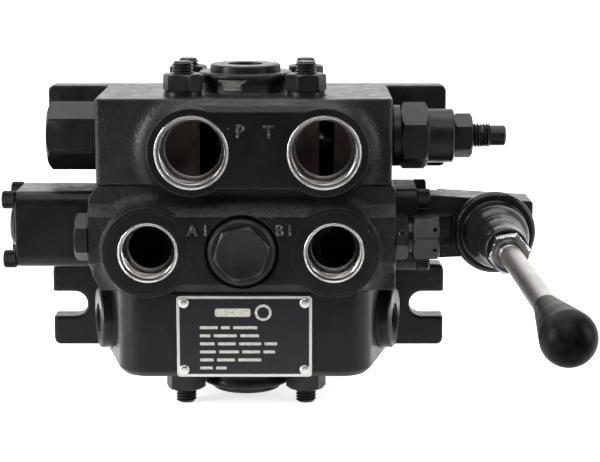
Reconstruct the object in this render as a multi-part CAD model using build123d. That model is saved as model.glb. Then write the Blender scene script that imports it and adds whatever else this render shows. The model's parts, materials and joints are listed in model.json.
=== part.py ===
from build123d import *
import os
from math import acos, atan2, cos, hypot, pi, radians, sin, tan

# Stacked directional control valve: inlet section, one work section and end section on
# four tie rods, a relief cartridge in the inlet, a spool with its centring spring on the
# left and its hand lever on the right. Millimetres, +X right, +Y back, +Z up. The origin
# is the centre of the four mounting slots, on the back mounting plane.

# Section stack
INLET_TOP = 66.4
INLET_BOTTOM = 25.5
WORK_BOTTOM = -25.2
END_BOTTOM = -67.3
INLET_HALF = 70.0
INLET_FRONT = -76.0
WORK_LEFT, WORK_RIGHT = -74.0, 72.0
WORK_FRONT = -75.0
END_FRONT = -80.0
PORT_FACE = -84.0
PASSAGE_X = -8.0
PASSAGE_R = 5.0

# Mounting feet with open slots
FOOT_HALF = 100.0
FOOT_THICK = 13.5
FOOT_CORNER_R = 3.0
SLOT_X, SLOT_Z = 89.1, 46.0
SLOT_R = 6.5

# Ports: centre X and Z; boss, seal seat and thread minor radius; thread depth
PORT_P = (-24.3, 41.9)
PORT_T = (37.8, 41.9)
PORT_A = (-45.3, -5.6)
PORT_B = (42.5, -5.6)
LARGE_BOSS_R, LARGE_RING_R, LARGE_MINOR_R, LARGE_DEPTH = 21.0, 17.2, 15.3, 17.0
SMALL_BOSS_R, SMALL_RING_R, SMALL_MINOR_R, SMALL_DEPTH = 21.8, 14.1, 12.5, 17.5
RING_DEPTH = 3.3
DRILL_POINT = 0.12
LARGE_FLARE, SMALL_FLARE = 11.0, 9.0
P_SLOT_X = (-21.0, -9.0)
T_SLOT_X = (35.8, 42.5)
SLOT_LEDGE = 0.9
CORE_R, CORE_LENGTH = 9.0, 13.0
CORE_A_X, CORE_B_X = -46.1, 45.4

# Tie rods and their nuts, M10
ROD_X = 29.4
ROD_FRONT_Y, ROD_BACK_Y = -58.0, -13.0
ROD_R, ROD_HOLE_R = 5.0, 5.3
ROD_TOP_FRONT, ROD_TOP_BACK = 82.6, 80.3
ROD_BOTTOM = -84.6
NUT_FLATS, NUT_HEIGHT = 17.0, 8.4
NUT_TURNS = (-12, 20, 8, 33)
WASHER_R, WASHER_THICK = 9.0, 2.5
SEAT_DEPTH = 0.6

# Plugs of the inlet and end sections
BOSS_Y = -42.0
BOSS_R, BOSS_HEIGHT = 23.0, 10.2
BOSS_BORE_R, BOSS_BORE_DEPTH = 13.0, 12.0
BOSS_PLUG_R, BOSS_PLUG_HEIGHT = 17.0, 3.4
SIDE_LEAN = 13.5
SIDE_X = 67.6
SIDE_PLUG_Y, SIDE_PLUG_Z = -42.0, -46.0
SIDE_PLUG_R, SIDE_PLUG_THICK = 15.0, 5.0
SIDE_THREAD_R = 10.0
SIDE_SPOT_DEPTH = 0.4
SIDE_SEAL_THICK = 1.5

# Face seals around the passages between sections
SEAL_OUTER, SEAL_INNER, SEAL_HEIGHT = 8.4, 6.4, 1.4

# Relief line through the inlet section: bores, blanking plug and relief cartridge
RELIEF_Y, RELIEF_Z = -38.0, 44.3
RELIEF_BORE_R, RELIEF_BORE_END = 12.0, 34.0
RELIEF_STEP_R = 9.0
RELIEF_SEAT_X, RELIEF_SEAT_R = 6.0, 5.0
BLANK_BORE_R, BLANK_BORE_END = 11.0, -52.0
GALLERY_R = 6.0
RELIEF_FLATS = 29.0
RELIEF_TURN, BLANK_TURN = 5.0, 6.0
BLANK_COLLAR, BLANK_LENGTH = 1.2, 25.2
CARTRIDGE_COLLAR, CARTRIDGE_SHOULDER, CARTRIDGE_HEX, CARTRIDGE_END = 1.7, 5.4, 18.8, 31.7
SLEEVE_R = 13.3
SPRING_CHAMBER_R = 7.6
LOCK_NUT_FLATS, LOCK_NUT_END = 19.0, 40.7
SCREW_R, SCREW_TIP_R = 6.0, 5.0
SCREW_THREAD_END, SCREW_END = 49.5, 57.3
POPPET_LENGTH = 34.0

# Port relief line at the front of the work section
PORT_RELIEF_Y, PORT_RELIEF_Z = -72.0, 0.1
SHOULDER_FRONT = -81.5
PORT_RELIEF_R = 7.0
SIDE_BORE_DEPTH = 12.0
BASE_FLATS, BASE_LENGTH, BASE_TURN = 19.0, 5.8, 42.0
CAP_FLATS, CAP_LENGTH, CAP_TURN = 19.6, 12.6, 30.0
LEFT_PLUG_FLATS, LEFT_PLUG_LENGTH = 20.0, 6.2

# Load check in the middle of the work section
CHECK_X, CHECK_Z = -1.0, -5.2
CHECK_BORE_R = 10.5
CHECK_SEAT_Y, CHECK_SEAT_R = -56.0, 5.5
CHECK_COLLAR_R, CHECK_FLATS, CHECK_TURN = 16.0, 24.0, 13.0
SPOT_R, SPOT_DEPTH = 17.6, 1.0
FEED_X, FEED_Y, FEED_R = 18.0, -61.0, 3.0

# Spool line: spool, its annular grooves and the tank passages at both sides
SPOOL_Y, SPOOL_Z = -40.0, 0.5
SPOOL_R, SPOOL_STEM_R, SPOOL_TAIL_R = 8.0, 5.0, 4.6
SPOOL_LEFT, SPOOL_TAIL, SPOOL_RIGHT = -79.4, 76.0, 126.0
TANK_X = 52.0
GROOVE_R, GROOVE_HALF = 11.0, 3.5
GROOVE_XS = (-TANK_X, -40.0, -18.0, 0.0, 18.0, 40.0, TANK_X)
METERING_XS = (-46.0, -29.0, 29.0, 46.0)

# Positioner housing on the left, with the centring spring
HOUSING_END = -111.5
HOUSING_HALF, HOUSING_CORNER_R, HOUSING_BORE_R = 18.6, 6.0, 13.0
CENTRING_LENGTH = 18.4
LEFT_SCREW_SPREAD, LEFT_SCREW_R = 14.6, 2.5
RIGHT_SCREW_SPREAD, RIGHT_SCREW_R = 15.2, 3.0
SCREW_DEPTH = 9.0

# Lever box on the right: flange, arm and the round neck that carries the boot
FLANGE_HALF, FLANGE_THICK, FLANGE_CORNER_R = 20.0, 11.0, 5.0
BOX_LEFT = WORK_RIGHT + FLANGE_THICK
BOX_END = 140.2
BOX_FRONT, BOX_BACK = -50.0, -26.0
NECK_R, NECK_FRONT, NECK_BORE_R = 17.0, -60.0, 13.0
RECESS_DEPTH = 3.0
CAVITY_X, CAVITY_R = 104.5, 8.6
TUNNEL_R = 5.2

# Hand lever, along an axis that leaves the pivot toward the front
PIVOT = (120.0, -56.0, 0.5)
PIN_R, PIN_HALF = 3.0, 15.8
BALL_R, BALL_ARM, BALL_ARM_R = 4.6, 16.0, 2.8
HUB_R, HUB_HALF, HUB_FRONT = 8.0, 9.6, 59.0
STEM_R = 7.8
LEVER_LEAN, LEVER_RISE = 0.85, 0.45
LEVER_AXIS = (sin(radians(LEVER_LEAN)), -cos(radians(LEVER_LEAN)), sin(radians(LEVER_RISE)))
LEVER_ROD_R, LEVER_ROD_START = 5.0, 42.0
LEVER_NUT_START, LEVER_NUT_FLATS, LEVER_NUT_HEIGHT, LEVER_NUT_TURN = 59.3, 17.0, 6.0, -10.0
KNOB_START, KNOB_LENGTH = 176.0, 60.9
KNOB_R, KNOB_NECK_R, KNOB_HOLE_DEPTH = 10.8, 5.4, 18.1

# Name plate on the end section
PLATE_HALF, PLATE_TOP, PLATE_BOTTOM, PLATE_THICK = 32.2, -26.9, -66.4, 0.8
RIVET_INSET, RIVET_R, RIVET_SHANK_R, RIVET_DEPTH = 3.4, 2.5, 1.15, 4.0

FRONT, BACK = (0, -1, 0), (0, 1, 0)
LEFT, RIGHT = (-1, 0, 0), (1, 0, 0)
UP, DOWN = (0, 0, 1), (0, 0, -1)
PIECES = {}


# ------------------------------------------------------------------ building blocks
def keep(name, shape):
    """Remember a finished piece under its node name."""
    PIECES[name] = shape


def along(place, toward, distance):
    """Point at a distance from a place toward a unit direction."""
    return tuple(p + t * distance for p, t in zip(place, toward))


def opposite(toward):
    """The reversed direction."""
    return tuple(-t for t in toward)


def block(x0, x1, y0, y1, z0, z1):
    """Box between two corners."""
    middle = ((x0 + x1) / 2, (y0 + y1) / 2, (z0 + z1) / 2)
    return Pos(*middle) * Box(x1 - x0, y1 - y0, z1 - z0)


def rod(place, toward, radius, length):
    """Cylinder that starts at a place and grows toward a direction."""
    base = (Align.CENTER, Align.CENTER, Align.MIN)
    return Plane(place, z_dir=toward) * Cylinder(radius, length, align=base)


def ring(place, toward, outer, inner, length):
    """Plain ring, such as a washer."""
    return rod(place, toward, outer, length) - rod(place, toward, inner, length)


def turned(place, toward, outline):
    """Solid of revolution from (distance along the axis, radius) points."""
    closed = [(0, outline[0][0])]
    closed += [(radius, distance) for distance, radius in outline]
    closed.append((0, outline[-1][0]))
    closed = [p for i, p in enumerate(closed) if i == 0 or p != closed[i - 1]]
    face = make_face(Plane.XZ * Polyline(*closed, close=True))
    return Plane(place, z_dir=toward) * revolve(face, Axis.Z)


def hexagon(place, toward, flats, length, turn=0.0, across=None):
    """Hexagonal prism; turn 0 puts a corner on the across direction."""
    plane = Plane(place, x_dir=across, z_dir=toward)
    sketch = plane * RegularPolygon(flats / 2, 6, major_radius=False, rotation=turn)
    return extrude(sketch, amount=length, dir=toward)


def hex_head(place, toward, flats, length, turn=0.0, across=None, both_ends=False):
    """Hexagonal prism with its corners chamfered at the outer end, or at both."""
    corner = flats / 2 / cos(pi / 6)
    drop = (corner - flats / 2) * 1.05
    slope = drop * tan(radians(30))
    first = corner - drop if both_ends else corner
    outline = [(0, first), (slope, corner), (length - slope, corner)]
    outline.append((length, corner - drop))
    return hexagon(place, toward, flats, length, turn, across) & turned(place, toward, outline)


def rods(radius, z0, z1):
    """Four vertical cylinders on the tie rod centres."""
    places = [(x, y, z0) for x in (-ROD_X, ROD_X) for y in (ROD_FRONT_Y, ROD_BACK_Y)]
    return [rod(place, UP, radius, z1 - z0) for place in places]


def cut_all(body, tools):
    """Body less each tool in turn."""
    for tool in tools:
        body -= tool
    return body


def coil(place, toward, radius, wire, length, turns):
    """Compression spring with its wire ends inside the stated length."""
    height = length - 2 * wire
    path = Helix(pitch=height / turns, height=height, radius=radius)
    section = Plane(path @ 0, z_dir=path % 0) * Circle(wire)
    return Plane(along(place, toward, wire), z_dir=toward) * sweep(section, path=path, is_frenet=True)


def cap_screw(place, out, radius, head_r, head, length, key):
    """Socket head cap screw; place is the seat of its head."""
    body = turned(place, out, [(0, head_r), (head - 0.5, head_r), (head, head_r - 0.5)])
    body += rod(place, opposite(out), radius - 0.05, length)
    return body - hexagon(along(place, out, head), opposite(out), key, head * 0.55)


# ------------------------------------------------------------- features of castings
def flare(centre, radius, width, back):
    """Cast boss whose skirt curves out to the section's front plane."""
    x, z = centre
    depth = back - PORT_FACE
    start = (radius, 0)
    middle = (radius + width * (1 - cos(pi / 4)), depth * sin(pi / 4))
    end = (radius + width, depth)
    outline = Line((0, 0), start) + ThreePointArc(start, middle, end)
    outline += Polyline(end, (radius + width, depth + 1.0), (0, depth + 1.0), (0, 0))
    return Plane((x, PORT_FACE, z), z_dir=BACK) * revolve(make_face(Plane.XZ * outline), Axis.Z)


def port(centre, ring_r, minor_r, depth):
    """O-ring port: conical seal seat, thread bore and drill point."""
    x, z = centre
    outline = [(-1, ring_r + 0.5), (0, ring_r), (RING_DEPTH, minor_r), (depth, minor_r)]
    outline.append((depth + minor_r * DRILL_POINT, 0.01))
    return turned((x, PORT_FACE, z), BACK, outline)


def floor_slot(centre, slot_x):
    """Slot from a port's floor back to the relief line, a narrow ledge inside the port's bore."""
    x, z = centre
    floor_y = PORT_FACE + LARGE_DEPTH - 2
    slot = block(*slot_x, floor_y, RELIEF_Y, z - LARGE_MINOR_R, z + LARGE_MINOR_R)
    return slot & rod((x, floor_y, z), BACK, LARGE_MINOR_R - SLOT_LEDGE, RELIEF_Y - floor_y)


def foot(z0, z1, slot_z):
    """Mounting bar across the back with an open slot at each end."""
    bar = block(-FOOT_HALF, FOOT_HALF, -FOOT_THICK, 0, z0, z1)
    bar = fillet(bar.edges().filter_by(Axis.Y), FOOT_CORNER_R)
    for side in (-1, 1):
        bar -= rod((side * SLOT_X, 1, slot_z), FRONT, SLOT_R, FOOT_THICK + 2)
        x0, x1 = sorted((side * SLOT_X, side * (FOOT_HALF + 1)))
        bar -= block(x0, x1, -FOOT_THICK - 1, 1, slot_z - SLOT_R, slot_z + SLOT_R)
    return bar


def round_boss(face_z, toward):
    """Slightly waisted cast boss that carries a plug on the top or bottom face."""
    outline = [(-1, BOSS_R), (0, BOSS_R), (1.2, BOSS_R - 0.9), (5.0, BOSS_R - 1.2)]
    outline += [(7.0, BOSS_R - 0.4), (BOSS_HEIGHT - 1.2, BOSS_R), (BOSS_HEIGHT, BOSS_R - 1.0)]
    return turned((0, BOSS_Y, face_z), toward, outline)


def seal_grooves(z):
    """Seal grooves cut up from a section's lower face."""
    outer, inner = SEAL_OUTER + 0.2, SEAL_INNER - 0.2
    return [ring((x, y, z - 1), UP, outer, inner, SEAL_HEIGHT + 1) for x, y in seal_places()]


def seal_places():
    """X and Y of the passages that run through the stack."""
    return ((PASSAGE_X, RELIEF_Y), (TANK_X, SPOOL_Y), (-TANK_X, SPOOL_Y))


def screw_places(spread):
    """Y and Z of four corner screws about the spool line."""
    return [(SPOOL_Y + a * spread, SPOOL_Z + b * spread) for a in (-1, 1) for b in (-1, 1)]


def rivet_places():
    """X and Z of the four rivets of the name plate."""
    xs = (-PLATE_HALF + RIVET_INSET, PLATE_HALF - RIVET_INSET)
    zs = (PLATE_BOTTOM + RIVET_INSET, PLATE_TOP - RIVET_INSET)
    return [(x, z) for x in xs for z in zs]


# ---------------------------------------------------------------- inlet section
def inlet_section():
    """Upper casting with the P and T ports, the relief line and the upper feet."""
    outline = block(-INLET_HALF, INLET_HALF, PORT_FACE, 0, INLET_BOTTOM, INLET_TOP)
    body = block(-INLET_HALF, INLET_HALF, INLET_FRONT, 0, INLET_BOTTOM, INLET_TOP)
    body = fillet(body.edges().filter_by(Axis.Z).group_by(Axis.Y)[0], 2.5)
    for centre in (PORT_P, PORT_T):
        body += flare(centre, LARGE_BOSS_R, LARGE_FLARE, INLET_FRONT) & outline
    band = Polyline(
        (INLET_FRONT + 1, 27.0), (INLET_FRONT, 24.7), (PORT_FACE, 24.7), (PORT_FACE, 61.0),
        (PORT_FACE + 2.5, 64.2), (INLET_FRONT + 1, INLET_TOP - 0.4), close=True)
    between = PORT_T[0] - PORT_P[0]
    body += Pos(PORT_P[0], 0, 0) * extrude(make_face(Plane.YZ * band), between, dir=RIGHT)
    for x, z in (PORT_P, PORT_T):
        body += rod((x, PORT_FACE, z), BACK, LARGE_BOSS_R, INLET_FRONT - PORT_FACE)
    body += round_boss(INLET_TOP, UP)
    body += foot(INLET_BOTTOM, INLET_TOP, SLOT_Z)
    for centre, slot_x in ((PORT_P, P_SLOT_X), (PORT_T, T_SLOT_X)):
        body -= port(centre, LARGE_RING_R, LARGE_MINOR_R, LARGE_DEPTH)
        body -= floor_slot(centre, slot_x)
    body = cut_all(body, relief_line_bores())
    top = INLET_TOP + BOSS_HEIGHT
    body -= rod((0, BOSS_Y, top + 1), DOWN, BOSS_BORE_R, BOSS_BORE_DEPTH + 1)
    body -= rod((PASSAGE_X, RELIEF_Y, top), DOWN, PASSAGE_R - 1, top - RELIEF_Z)
    body -= rod((PASSAGE_X, RELIEF_Y, INLET_BOTTOM - 1), UP, PASSAGE_R, RELIEF_Z - INLET_BOTTOM + 1)
    body -= rod((TANK_X, SPOOL_Y, INLET_BOTTOM - 1), UP, PASSAGE_R, RELIEF_Z - INLET_BOTTOM + 1)
    body = cut_all(body, rods(ROD_HOLE_R, INLET_BOTTOM - 1, INLET_TOP + 1))
    body = cut_all(body, rods(WASHER_R + 0.8, INLET_TOP - SEAT_DEPTH, INLET_TOP + 12))
    return cut_all(body, seal_grooves(INLET_BOTTOM))


def relief_line_bores():
    """Cartridge bore, its step and seat, the pressure gallery and the blanking bore."""
    right = INLET_HALF + 1
    step = RELIEF_BORE_END + 1
    return [
        rod((right, RELIEF_Y, RELIEF_Z), LEFT, RELIEF_BORE_R, right - RELIEF_BORE_END),
        rod((step, RELIEF_Y, RELIEF_Z), LEFT, RELIEF_STEP_R, step - RELIEF_SEAT_X),
        rod((RELIEF_SEAT_X + 1, RELIEF_Y, RELIEF_Z), LEFT, RELIEF_SEAT_R, 30.0),
        rod((-right, RELIEF_Y, RELIEF_Z), RIGHT, BLANK_BORE_R, right + BLANK_BORE_END),
        rod((BLANK_BORE_END - 1, RELIEF_Y, RELIEF_Z), RIGHT, GALLERY_R, 34.0)]


# ----------------------------------------------------------------- work section
def work_section():
    """Middle casting with the A and B ports, the spool bore and the load check."""
    body = work_body()
    for centre, core_x in ((PORT_A, CORE_A_X), (PORT_B, CORE_B_X)):
        x, z = centre
        floor_y = PORT_FACE + SMALL_DEPTH
        side = 1 if x > 0 else -1
        body -= port(centre, SMALL_RING_R, SMALL_MINOR_R, SMALL_DEPTH)
        body -= rod((core_x, floor_y, z), BACK, CORE_R, CORE_LENGTH)
        body -= rod((side * 40.0, floor_y + CORE_LENGTH - 1, SPOOL_Z - 2), BACK, 3.2, 6.0)
        body -= ring((x, PORT_FACE - 1, z), BACK, 19.0, 18.7, 1.15)
    # Spool bore with its annular grooves
    body -= rod((WORK_LEFT - 1, SPOOL_Y, SPOOL_Z), RIGHT, SPOOL_R, WORK_RIGHT - WORK_LEFT + 2)
    for x in GROOVE_XS:
        body -= rod((x - GROOVE_HALF, SPOOL_Y, SPOOL_Z), RIGHT, GROOVE_R, 2 * GROOVE_HALF)
    # Pressure and tank passages through the stack
    tall = INLET_BOTTOM - WORK_BOTTOM + 2
    body -= rod((PASSAGE_X, SPOOL_Y + 2, WORK_BOTTOM - 1), UP, PASSAGE_R, tall)
    body -= rod((PASSAGE_X, SPOOL_Y, SPOOL_Z), RIGHT, PASSAGE_R, -PASSAGE_X)
    for x in (-TANK_X, TANK_X):
        body -= rod((x, SPOOL_Y, WORK_BOTTOM - 1), UP, PASSAGE_R, tall)
    body = cut_all(body, load_check_bores())
    # Port relief bores in the side faces, open to the work ports
    for side_x, inward in ((WORK_LEFT, RIGHT), (WORK_RIGHT, LEFT)):
        mouth = (side_x, PORT_RELIEF_Y, PORT_RELIEF_Z)
        body -= rod(along(mouth, inward, -1), inward, PORT_RELIEF_R, SIDE_BORE_DEPTH + 1)
        body -= rod(along(mouth, inward, SIDE_BORE_DEPTH - 1), inward, 3.0, 8.0)
    body = cut_all(body, rods(ROD_HOLE_R, WORK_BOTTOM - 1, INLET_BOTTOM + 1))
    for y, z in screw_places(LEFT_SCREW_SPREAD):
        body -= rod((WORK_LEFT, y, z), RIGHT, LEFT_SCREW_R, SCREW_DEPTH + 1)
    for y, z in screw_places(RIGHT_SCREW_SPREAD):
        body -= rod((WORK_RIGHT, y, z), LEFT, RIGHT_SCREW_R, SCREW_DEPTH + 1)
    return cut_all(body, seal_grooves(WORK_BOTTOM))


def work_body():
    """Outside of the work section, with its bosses, band and side shoulders."""
    side = Polyline(
        (WORK_LEFT + 4.5, INLET_BOTTOM), (WORK_RIGHT - 2, INLET_BOTTOM), (WORK_RIGHT, INLET_BOTTOM - 3),
        (WORK_RIGHT, WORK_BOTTOM + 1), (WORK_RIGHT - 1, WORK_BOTTOM), (WORK_LEFT + 5, WORK_BOTTOM),
        (WORK_LEFT + 1.5, WORK_BOTTOM + 7), (WORK_LEFT, WORK_BOTTOM + 16), (WORK_LEFT, 18.5),
        close=True)
    profile = make_face(Plane.XZ * side)
    outline = extrude(profile, amount=-PORT_FACE, dir=FRONT)
    body = extrude(profile, amount=-WORK_FRONT, dir=FRONT)
    for centre in (PORT_A, PORT_B):
        body += flare(centre, SMALL_BOSS_R, SMALL_FLARE, WORK_FRONT) & outline
    band = Polyline(
        (WORK_FRONT + 1, 21.0), (PORT_FACE + 3, 15.0), (PORT_FACE, 11.6), (PORT_FACE, -21.0),
        (END_FRONT - 0.5, WORK_BOTTOM), (WORK_FRONT + 1, WORK_BOTTOM), close=True)
    between = PORT_B[0] - PORT_A[0]
    body += Pos(PORT_A[0], 0, 0) * extrude(make_face(Plane.YZ * band), between, dir=RIGHT)
    for x, z in (PORT_A, PORT_B):
        body += rod((x, PORT_FACE, z), BACK, SMALL_BOSS_R, END_FRONT - 0.5 - PORT_FACE)
    # Shoulders that give the port relief bores their walls
    shoulder = Polyline(
        (WORK_FRONT + 1, -17.0), (SHOULDER_FRONT, -11.0), (SHOULDER_FRONT, 11.0),
        (WORK_FRONT + 1, 17.0), close=True)
    for side_x, inward in ((WORK_LEFT, RIGHT), (WORK_RIGHT, LEFT)):
        length = 24.0
        wall = Pos(side_x, 0, 0) * extrude(make_face(Plane.YZ * shoulder), length, dir=inward)
        body += wall & outline
    # Room for the overhanging bosses of the inlet section
    overhang = INLET_FRONT + 0.6
    for x, z in (PORT_P, PORT_T):
        body -= rod((x, PORT_FACE - 1, z), BACK, LARGE_BOSS_R + 0.7, overhang - PORT_FACE + 1)
    return body - block(PORT_P[0], PORT_T[0], PORT_FACE - 1, overhang, 24.0, 26.0)


def load_check_bores():
    """Load check cavity, its seat and the bridge to the two feed grooves."""
    mouth = (CHECK_X, PORT_FACE, CHECK_Z)
    tools = [
        rod(along(mouth, FRONT, 1), BACK, SPOT_R, SPOT_DEPTH + 1),
        rod(mouth, BACK, CHECK_BORE_R, CHECK_SEAT_Y - PORT_FACE),
        rod((CHECK_X, CHECK_SEAT_Y - 1, CHECK_Z), BACK, CHECK_SEAT_R, 10.0),
        rod((-FEED_X, FEED_Y, CHECK_Z), RIGHT, FEED_R, 2 * FEED_X)]
    for x in (-FEED_X, FEED_X):
        tools.append(rod((x, FEED_Y, CHECK_Z), BACK, FEED_R, 14.0))
    return tools


# ------------------------------------------------------------------ end section
def side_direction(side):
    """Outward normal of a slanted side of the end section."""
    return (side * cos(radians(SIDE_LEAN)), -sin(radians(SIDE_LEAN)), 0)


def end_section():
    """Lower casting with slanted sides, a cross gallery and the lower feet."""
    slope = tan(radians(SIDE_LEAN))
    back_x = SIDE_X - SIDE_PLUG_Y * slope
    front_x = SIDE_X - (SIDE_PLUG_Y - END_FRONT) * slope
    outline = [(-back_x, 0), (back_x, 0), (front_x, END_FRONT), (-front_x, END_FRONT)]
    face = make_face(Pos(0, 0, END_BOTTOM) * Polyline(*outline, close=True))
    body = extrude(face, amount=WORK_BOTTOM - END_BOTTOM, dir=UP)
    body = fillet(body.edges().filter_by(Axis.Z).group_by(Axis.Y)[0], 15.0)
    lower = body.edges().group_by(Axis.Z)[0].filter_by(lambda e: e.center().Y < -8)
    body = chamfer(lower, 3.0)
    body += foot(END_BOTTOM, WORK_BOTTOM, -SLOT_Z)
    body += round_boss(END_BOTTOM, DOWN)
    bottom = END_BOTTOM - BOSS_HEIGHT
    body -= rod((0, BOSS_Y, bottom - 1), UP, BOSS_BORE_R, BOSS_BORE_DEPTH + 1)
    body -= rod((PASSAGE_X, RELIEF_Y, bottom), UP, PASSAGE_R - 1, WORK_BOTTOM - bottom + 1)
    # Cross gallery that joins the two tank passages, stepped back around the pressure passage
    for side in (-1, 1):
        out = side_direction(side)
        face = (side * SIDE_X, SIDE_PLUG_Y, SIDE_PLUG_Z)
        body -= rod(along(face, out, 2), opposite(out), SIDE_PLUG_R + 0.9, 2 + SIDE_SPOT_DEPTH)
        body -= rod(along(face, out, 1), opposite(out), SIDE_THREAD_R, 14.0)
    for side, out in ((-1, LEFT), (1, RIGHT)):
        body -= rod((side * 15, SPOOL_Y, SIDE_PLUG_Z), out, PASSAGE_R + 1, 40.0)
        body -= rod((side * 18, SPOOL_Y, SIDE_PLUG_Z), BACK, 4.5, 16.0)
    body -= rod((-19, SPOOL_Y + 14, SIDE_PLUG_Z), RIGHT, 3.8, 38.0)
    for x in (-TANK_X, TANK_X):
        body -= rod((x, SPOOL_Y, SIDE_PLUG_Z), UP, PASSAGE_R, WORK_BOTTOM - SIDE_PLUG_Z + 1)
    body = cut_all(body, rods(ROD_HOLE_R, END_BOTTOM - 1, WORK_BOTTOM + 1))
    body = cut_all(body, rods(WASHER_R + 0.8, END_BOTTOM - 12, END_BOTTOM + SEAT_DEPTH))
    holes = [rod((x, END_FRONT - 1, z), BACK, RIVET_SHANK_R + 0.05, 6.0) for x, z in rivet_places()]
    return cut_all(body, holes)


# -------------------------------------------------------------- stack fasteners
def tie_rod(x, y, top):
    """Threaded stud with chamfered ends."""
    length = top - ROD_BOTTOM
    outline = [(0, ROD_R - 1), (1, ROD_R), (length - 1, ROD_R), (length, ROD_R - 1)]
    return turned((x, y, ROD_BOTTOM), UP, outline)


def nut(place, toward, turn):
    """Hexagon nut with a small clearance on the stud."""
    blank = hex_head(place, toward, NUT_FLATS, NUT_HEIGHT, turn, RIGHT, both_ends=True)
    return blank - rod(along(place, toward, -1), toward, ROD_R + 0.1, NUT_HEIGHT + 2)


def split_washer(place, toward, turn):
    """Spring washer, flattened, with its slanted gap."""
    body = ring(place, toward, WASHER_R, ROD_R + 0.3, WASHER_THICK)
    gap = Pos(*place) * Rot(0, 0, turn) * Rot(35, 0, 0) * Pos(WASHER_R - 2, 0, 0) * Box(8, 0.7, 12)
    return body - gap


def stack_fasteners():
    """Studs, nuts and spring washers of the section stack."""
    places = [(x, y) for x in (-ROD_X, ROD_X) for y in (ROD_FRONT_Y, ROD_BACK_Y)]
    tops = {ROD_FRONT_Y: ROD_TOP_FRONT, ROD_BACK_Y: ROD_TOP_BACK}
    keep("tie_rods", [tie_rod(x, y, tops[y]) for x, y in places])
    ends = (("top", INLET_TOP - SEAT_DEPTH, UP), ("bottom", END_BOTTOM + SEAT_DEPTH, DOWN))
    for end, face, toward in ends:
        seat = face + WASHER_THICK * toward[2]
        washers = [split_washer((x, y, face), toward, 40 * i) for i, (x, y) in enumerate(places)]
        nuts = [nut((x, y, seat), toward, turn) for (x, y), turn in zip(places, NUT_TURNS)]
        keep("spring_washers_" + end, washers)
        keep("tie_rod_nuts_" + end, nuts)


# ------------------------------------------------------------- plugs and seals
def boss_plug(face_z, toward):
    """Round collar plug with a key socket."""
    place = (0, BOSS_Y, face_z)
    top = along(place, toward, BOSS_PLUG_HEIGHT)
    outline = [(0, BOSS_PLUG_R), (BOSS_PLUG_HEIGHT - 0.6, BOSS_PLUG_R)]
    outline.append((BOSS_PLUG_HEIGHT, BOSS_PLUG_R - 0.6))
    body = turned(place, toward, outline)
    body += rod(place, opposite(toward), BOSS_BORE_R - 0.1, BOSS_BORE_DEPTH - 2)
    body -= rod(along(top, toward, 1), opposite(toward), 8.6, 2.2)
    return body - hexagon(top, opposite(toward), 12.0, 9.0)


def side_plug(side):
    """Collar plug with a key socket in a slanted side of the end section."""
    out = side_direction(side)
    seat = (side * SIDE_X, SIDE_PLUG_Y, SIDE_PLUG_Z)
    face = along(seat, out, SIDE_SEAL_THICK - SIDE_SPOT_DEPTH)
    outer = along(face, out, SIDE_PLUG_THICK)
    outline = [(0, SIDE_PLUG_R), (SIDE_PLUG_THICK - 0.8, SIDE_PLUG_R)]
    outline.append((SIDE_PLUG_THICK, SIDE_PLUG_R - 0.8))
    body = turned(face, out, outline) + rod(face, opposite(out), SIDE_THREAD_R - 0.1, 11.0)
    body -= rod(along(outer, out, 1), opposite(out), 7.2, 1.8)
    return body - hexagon(outer, opposite(out), 10.0, 8.0)


def side_washer(side):
    """Sealing washer under a side plug."""
    out = side_direction(side)
    face = along((side * SIDE_X, SIDE_PLUG_Y, SIDE_PLUG_Z), out, -SIDE_SPOT_DEPTH)
    return ring(face, out, SIDE_PLUG_R - 0.3, SIDE_THREAD_R + 0.2, SIDE_SEAL_THICK)


def blanking_plug():
    """Long hexagon plug in the left end of the relief line."""
    place = (-INLET_HALF, RELIEF_Y, RELIEF_Z)
    body = rod(place, LEFT, RELIEF_FLATS / 2 - 0.3, BLANK_COLLAR)
    body += hex_head(along(place, LEFT, BLANK_COLLAR), LEFT, RELIEF_FLATS, BLANK_LENGTH, BLANK_TURN, UP)
    return body + rod(place, RIGHT, BLANK_BORE_R - 0.1, 15.0)


def plugs_and_seals():
    """Plugs of the inlet and end sections and the seals between sections."""
    keep("top_port_plug", boss_plug(INLET_TOP + BOSS_HEIGHT, UP))
    keep("bottom_port_plug", boss_plug(END_BOTTOM - BOSS_HEIGHT, DOWN))
    keep("end_plug_left", side_plug(-1))
    keep("end_plug_right", side_plug(1))
    keep("end_plug_washers", [side_washer(-1), side_washer(1)])
    keep("inlet_blanking_plug", blanking_plug())
    faces = [(x, y, z) for z in (INLET_BOTTOM, WORK_BOTTOM) for x, y in seal_places()]
    keep("section_seals", [ring(face, UP, SEAL_OUTER, SEAL_INNER, SEAL_HEIGHT) for face in faces])


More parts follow.
